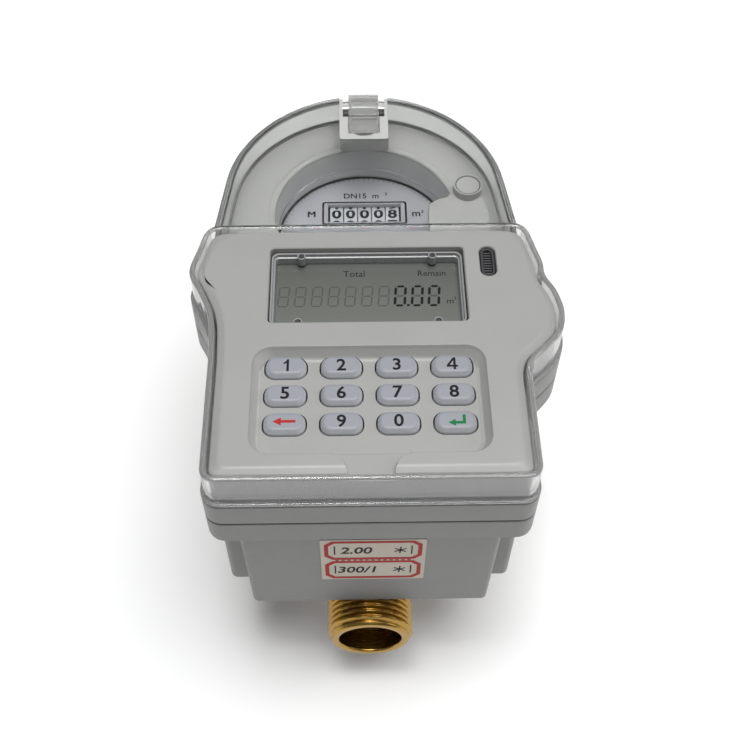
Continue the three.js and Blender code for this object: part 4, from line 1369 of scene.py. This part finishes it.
def make_dial():
    """White dial with the roller window, three small scales and plain lettering."""
    plate = cut(
        turned([(0, DIAL_TOP - 1.4), (DIAL_R, DIAL_TOP - 1.4), (DIAL_R, DIAL_TOP), (0, DIAL_TOP)], 120),
        box(-12.3, 12.3, ROLLER_Y - 4, ROLLER_Y + 4, 80, 90),
    )
    parts = [paint(plate, DIAL)]
    top = DIAL_TOP + 0.02
    outer = rounded_box(-14.3, 14.3, ROLLER_Y - 5.2, ROLLER_Y + 5.2, 1)
    inner = rounded_box(-13.6, 13.6, ROLLER_Y - 4.6, ROLLER_Y + 4.6, 0.6)
    parts.append(flat_frame(outer, inner, top - 0.03, top + 0.02, INK))
    thick = 0.04
    words = [
        ("DN15  m", 2.3, -1.0, 19.9), ("3", 1.4, 7.4, 20.7),
        ("m", 2.0, 17.4, 11.2), ("3", 1.4, 19.5, 12.4),
    ]
    for word, size, x, y in words:
        parts.append(moved(lettering(word, size, thick, INK), x, y, top))
    # Three copies side by side make one bold letter
    for shift in (-0.14, 0, 0.14):
        letter = lettering("M", 2.6, thick, INK, 0, 1, 0.0)
        parts.append(moved(letter, -17.8 + shift, 11.6, top + shift / 100))
    for centre, word in zip(POINTERS.values(), ("x0.1", "x0.01", "x0.001")):
        parts.append(tick_ring(centre, 5.6, 10, 1.1, 0.3))
        parts.append(tick_ring(centre, 5.4, 50, 0.5, 0.12))
        parts.append(moved(lettering(word, 1.3, thick, INK), centre[0], centre[1] - 8.0, top))
    parts.append(tick_ring((0, 0), 27.6, 100, 0.8, 0.18))
    finish(together(*parts), "dial", "meter", ["dial_plate"])


def wrapped_digit(text, turn):
    """A digit bent around a roller, a share of a turn away from the top."""
    flat = lettering(text, 3.9, 0.05, INK, 0, 1.25, 0.03)
    mesh = bmesh.new()
    mesh.from_mesh(flat.data)
    for i in range(-3, 4):
        everything = mesh.verts[:] + mesh.edges[:] + mesh.faces[:]
        bmesh.ops.bisect_plane(mesh, geom=everything, plane_co=(0, i * 0.5, 0), plane_no=(0, 1, 0))
    for vertex in mesh.verts:
        angle = math.pi / 2 + vertex.co.y / ROLLER_R + turn * 2 * math.pi
        radius = ROLLER_R + 0.01 + vertex.co.z
        vertex.co = (vertex.co.x, -radius * math.cos(angle), radius * math.sin(angle))
    mesh.to_mesh(flat.data)
    mesh.free()
    return flat


def make_rollers():
    """Digit drums with all ten digits."""
    shown = (0, 0, 0, 0, 8)
    half, hole = ROLLER_WIDTH / 2, 1.3
    profile = [(hole, -half), (ROLLER_R, -half), (ROLLER_R, half), (hole, half)]
    for index, value in enumerate(shown):
        drum = along_x(turned(softened(profile, 0.15, cyclic=True, steps=2), 80, cyclic=True), 0, 0)
        parts = [paint(drum, WHITE)]
        for digit in range(10):
            parts.append(wrapped_digit(str(digit), (digit - value) / 10))
        name = "digit_roller_%d" % (index + 1)
        drum = moved(together(*parts), (index - 2) * ROLLER_PITCH, ROLLER_Y, ROLLER_Z)
        finish(drum, name + "_drum", name, [name], 35)


def make_pointers():
    """Red hands on the small scales, and the star that shows flow."""
    low, high = DIAL_TOP + 0.35, DIAL_TOP + 0.95

    def on_spindle(shape, shoulder):
        profile = [(0, 78), (0.8, 78), (0.8, shoulder), (0, high)]
        return paint(together(shape, turned(softened(profile, 0.2), 24)), RED)

    for name, (x, y) in POINTERS.items():
        outline = [(0, 4.6)] + arc(0, 0, 1.5, math.pi * 0.8, math.pi * 2.2, 20)
        hand = on_spindle(prism(outline, low, high - 0.15), high - 0.1)
        finish(moved(hand, x, y), name + "_hand", name, [name])
    outline = []
    for i in range(12):
        radius, angle = (2.8, 1.5)[i % 2], i * math.pi / 6
        outline.append((radius * math.cos(angle), radius * math.sin(angle)))
    star = on_spindle(prism(outline, low, high - 0.1), high)
    finish(moved(star, *STAR), "flow_star_wheel", "flow_star", ["flow_star"])


def make_register_glass():
    radius = WELL_R - 0.15
    profile = softened([(0, GLASS_BOTTOM), (radius, GLASS_BOTTOM), (radius, GLASS_TOP), (0, GLASS_TOP)], 0.2)
    window = paint(turned(profile, 120), GLASS)
    finish(window, "register_window", "meter", ["register_glass"])
    seal = turned([(28.1, 84.95), (28.65, 84.95), (28.65, 85.4), (28.3, 85.4)], 120, cyclic=True)
    finish(paint(seal, RUBBER), "register_seal", "meter", ["glass_seal"])


def make_sensor():
    """Flat sensor housing on the deck, with a round boss and a plug in its counterbore."""
    pad = [
        (20, -21), (39.5, -21), (39.5, -4), (37.8, 4), (36.2, 10),
        (32, 11.6), (28.8, 10.2), (27, 4), (23, 3), (20.2, 0.5),
    ]
    outline = softened(pad, 2.0, cyclic=True, steps=6)
    middle = Vector((31, -5))

    def ring(inset, z):
        points = []
        for x, y in outline:
            away = (Vector((x, y)) - middle).normalized()
            points.append((x - inset * away.x, y - inset * away.y, z))
        return points

    plate = loft([ring(0, 98.6), ring(0, 100.4), ring(0.12, 100.68), ring(0.4, 100.8)])
    boss_profile = [(0, 98.7), (4.6, 98.7), (4.6, 103.6), (4.0, 103.6), (4.0, 101.2), (0, 101.2)]
    boss = turned(softened(boss_profile, 0.25), 72, at=(33.1, 6.5))
    finish(paint(together(plate, boss), DECK_PAINTED_LIGHT), "sensor_cover", "meter", ["sensor_housing"])
    x_low, y_low, z_low = [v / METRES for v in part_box("screw_plug")[0]]
    x_high, y_high, z_high = [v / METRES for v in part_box("screw_plug")[1]]
    centre = ((x_low + x_high) / 2, (y_low + y_high) / 2)
    plug = turned(softened([(0, z_low), (3.75, z_low), (3.75, z_high), (0, z_high)], 0.3), 64, at=centre)
    low, high = z_high - 0.5, z_high - 0.15
    gap = turned([(3.7, low), (4.05, low), (4.05, high), (3.7, high)], 64, cyclic=True, at=centre)
    plug = together(paint(plug, DECK_PAINTED_LIGHT), paint(gap, DARK))
    finish(plug, "sensor_plug", "meter", ["screw_plug"])


# ---------------------------------------------------------------- clear cover


def cover_skirt():
    """The thin wall that hangs from the dome, just inside the casing, with a gap at the pocket."""
    foot, top = DECK_TOP + 0.4, DOME_TOP - 1.55
    outer, inner = -0.9, -1.6
    wall = swept(case_outline, [(outer, foot), (outer, top), (inner, top), (inner, foot)], cyclic=True)
    rear = common(wall, box(-FAR, FAR, PANEL_BACK + 2.3, FAR, 90, OVER))
    return cut(rear, box(-POCKET_HALF, POCKET_HALF, 31, 50, 90, OVER))


def latch_pocket():
    """The block that holds the lever: a slot, a wider recess, a round scoop and the pin's hole."""
    block = common(
        prism(rounded_box(-POCKET_HALF, POCKET_HALF, POCKET_FRONT, 46, 1.0), POCKET_BOTTOM, DOME_TOP),
        prism(rear_outline(-1.0, -10), 90, OVER),
    )
    low = POCKET_FLOOR
    scoop_profile = [(0, low), (4.3, low), (4.5, low + 0.3), (4.5, OVER), (0, OVER)]
    scoop = turned(scoop_profile, 64, at=(0, POCKET_FRONT + 5.8))
    return cut(
        block,
        prism(rounded_box(-SLOT_HALF, SLOT_HALF, 25, 50, 0.2), POCKET_FLOOR, OVER),
        box(-RECESS_HALF, RECESS_HALF, RECESS_FRONT, 50, POCKET_FLOOR, OVER + 1),
        common(scoop, box(-SLOT_HALF, SLOT_HALF, 10, 30, 90, OVER + 2)),
        pin_hole(1.0, 7.9),
    )


def pin_hole(radius, half):
    profile = [(0, -half), (radius, -half), (radius, half), (0, half)]
    return along_x(turned(profile, 32), LATCH_PIN_Y, LATCH_PIN_Z)


def make_clear_cover():
    """Clear rim around the panel, flange, dome over the register and the latch pocket."""
    foot, lid, inner = RIDGE + 0.2, RIDGE + 1.4, -COVER_WALL
    rim_profile = [(0, foot), (0, RIM_TOP), (inner, RIM_TOP), (inner, foot)]
    flange_profile = [(BAND_GROW, foot), (BAND_GROW, lid), (inner, lid), (inner, foot)]
    rim = swept(rim_outline, softened(rim_profile, 0.75, cyclic=True), cyclic=True)
    flange = swept(case_outline, softened(flange_profile, 0.58, cyclic=True), cyclic=True)
    front = PANEL_BACK - COVER_WALL
    edge = softened([(0, RIDGE + 1), (0, DOME_TOP), (-1.5, DOME_TOP)], 0.8)
    roof = loft([level(rear_outline(grow, front), z) for grow, z in edge])
    hollow = prism(rear_outline(-COVER_WALL, PANEL_BACK), 100, DOME_TOP - 1.5)
    pocket_hole = prism(rounded_box(-POCKET_HALF, POCKET_HALF, POCKET_FRONT, 50, 1.0, 0.05), 100, OVER)
    cover = cut(fused(rim, flange, roof), hollow, pocket_hole)
    cover = paint(cover, CLEAR)
    cover.data.materials.append(RIM)
    cover.data.materials.append(POCKET)
    for face in cover.data.polygons:
        x, y, z = face.center
        if abs(x) < POCKET_HALF + 0.2 and y > POCKET_FRONT - 0.2:
            face.material_index = 2
        elif y <= front or z <= RIDGE + 1.2:
            face.material_index = 1
    seat_half = RECESS_HALF - 0.05
    seat = box(-seat_half, seat_half, RECESS_FRONT + 0.1, 41.4, POCKET_FLOOR + 0.02, POCKET_FLOOR + 0.3)
    cover = together(cover, paint(cover_skirt(), CLEAR), paint(latch_pocket(), POCKET), paint(seat, CASE_PAINTED_SHADE))
    finish(cover, "clear_cover_shell", "clear_cover", ["clear_cover"], 28)


def make_latch():
    """Milky spring lever with its hook, and two raised frames on top."""
    profile = [
        (25.6, 107.9), (35, 107.6), (37, 105.9), (40.4, 105.9), (41.8, 107.0), (44.9, 107.0), (44.9, 100.5),
        (46.2, 100.9), (46.3, 107.0), (44.9, 108.6), (41.5, 109.1), (33, 109.1), (25.6, 109.4),
    ]
    lever = cut(sideways(softened(profile, 0.5, cyclic=True), LEVER_HALF), pin_hole(1.15, 10))
    frames = []
    half, line = LEVER_HALF - 0.2, 0.8
    for y_low, y_high in ((26.0, 32.6), (33.4, 41.4)):
        outer = rounded_box(-half, half, y_low, y_high, 0.6)
        inner = rounded_box(line - half, half - line, y_low + line, y_high - line, 0.3)
        frames.append(flat_frame(outer, inner, 108.9, 109.6, RIM))
    latch = together(paint(lever, FROSTED), *frames)
    finish(latch, "latch_tab", "latch_lever", ["latch_lever"], 28)


# ---------------------------------------------------------------- floor, light and camera


def backdrop(name, color, low):
    made = Finish(name)
    soft = made.noise(3.0, 2.0)
    made.set("Base Color", made.blend(soft, scaled(color, 0.985), color))
    made.set("Roughness", soft * 0.05 + 0.75)
    sheet = bmesh.new()
    bmesh.ops.create_grid(sheet, x_segments=2, y_segments=2, size=6.0)
    floor = as_object("floor", sheet)
    floor.data.transform(Matrix.Translation((0, 0, low)))
    floor.data.materials.append(made.material)


def area_light(name, place, aim, size, power):
    lamp = bpy.data.lights.new(name, "AREA")
    lamp.shape = "DISK"
    lamp.size = size
    lamp.energy = power
    holder = bpy.data.objects.new(name, lamp)
    holder.location = place
    holder.rotation_euler = (Vector(aim) - Vector(place)).to_track_quat("-Z", "Y").to_euler()
    bpy.context.scene.collection.objects.link(holder)


def make_world(strength):
    world = bpy.data.worlds.new("studio")
    world.use_nodes = True
    sky = world.node_tree.nodes["Background"]
    sky.inputs["Color"].default_value = (0.96, 0.98, 1.0, 1.0)
    sky.inputs["Strength"].default_value = strength
    bpy.context.scene.world = world


def make_camera():
    """Seen from the keypad end, well above the panel."""
    place = Vector((-0.003867, -0.24736, 0.36024))
    aim = Vector((-0.000572, -0.03978, 0.070))
    lens = bpy.data.cameras.new("camera")
    lens.lens = 54.73
    lens.sensor_width = 36.0
    holder = bpy.data.objects.new("camera", lens)
    turn = (aim - place).to_track_quat("-Z", "Y").to_matrix().to_4x4()
    roll = Matrix.Rotation(0.0016, 4, "Z")
    holder.matrix_world = Matrix.Translation(place) @ turn @ roll
    bpy.context.scene.collection.objects.link(holder)
    bpy.context.scene.camera = holder


def make_studio():
    scene = bpy.context.scene
    scene.view_settings.view_transform = "Standard"
    backdrop("pale floor", (0.975, 0.975, 0.975), CAD_BOUNDS[0][2])
    make_world(0.2)
    area_light("overhead softbox", (0.15, -0.05, 1.5), (0.0, -0.03, 0.05), 1.2, 19.5)
    area_light("overhead lamp", (-0.1, -0.1, 1.5), (0.0, -0.03, 0.05), 0.4, 5.2)
    area_light("right fill", (1.3, 0.0, 0.7), (0.0, -0.03, 0.07), 0.9, 4.0)


# ---------------------------------------------------------------- assembly

dress_carried_nodes()
make_brass_body()
make_lower_case()
make_gasket()
make_upper_case()
make_case_screws()
make_front_label()
make_panel()
make_optical_port()
make_display()
make_bezel()
make_keypad()
make_dial()
make_rollers()
make_pointers()
make_register_glass()
make_sensor()
make_clear_cover()
make_latch()
make_studio()
make_camera()
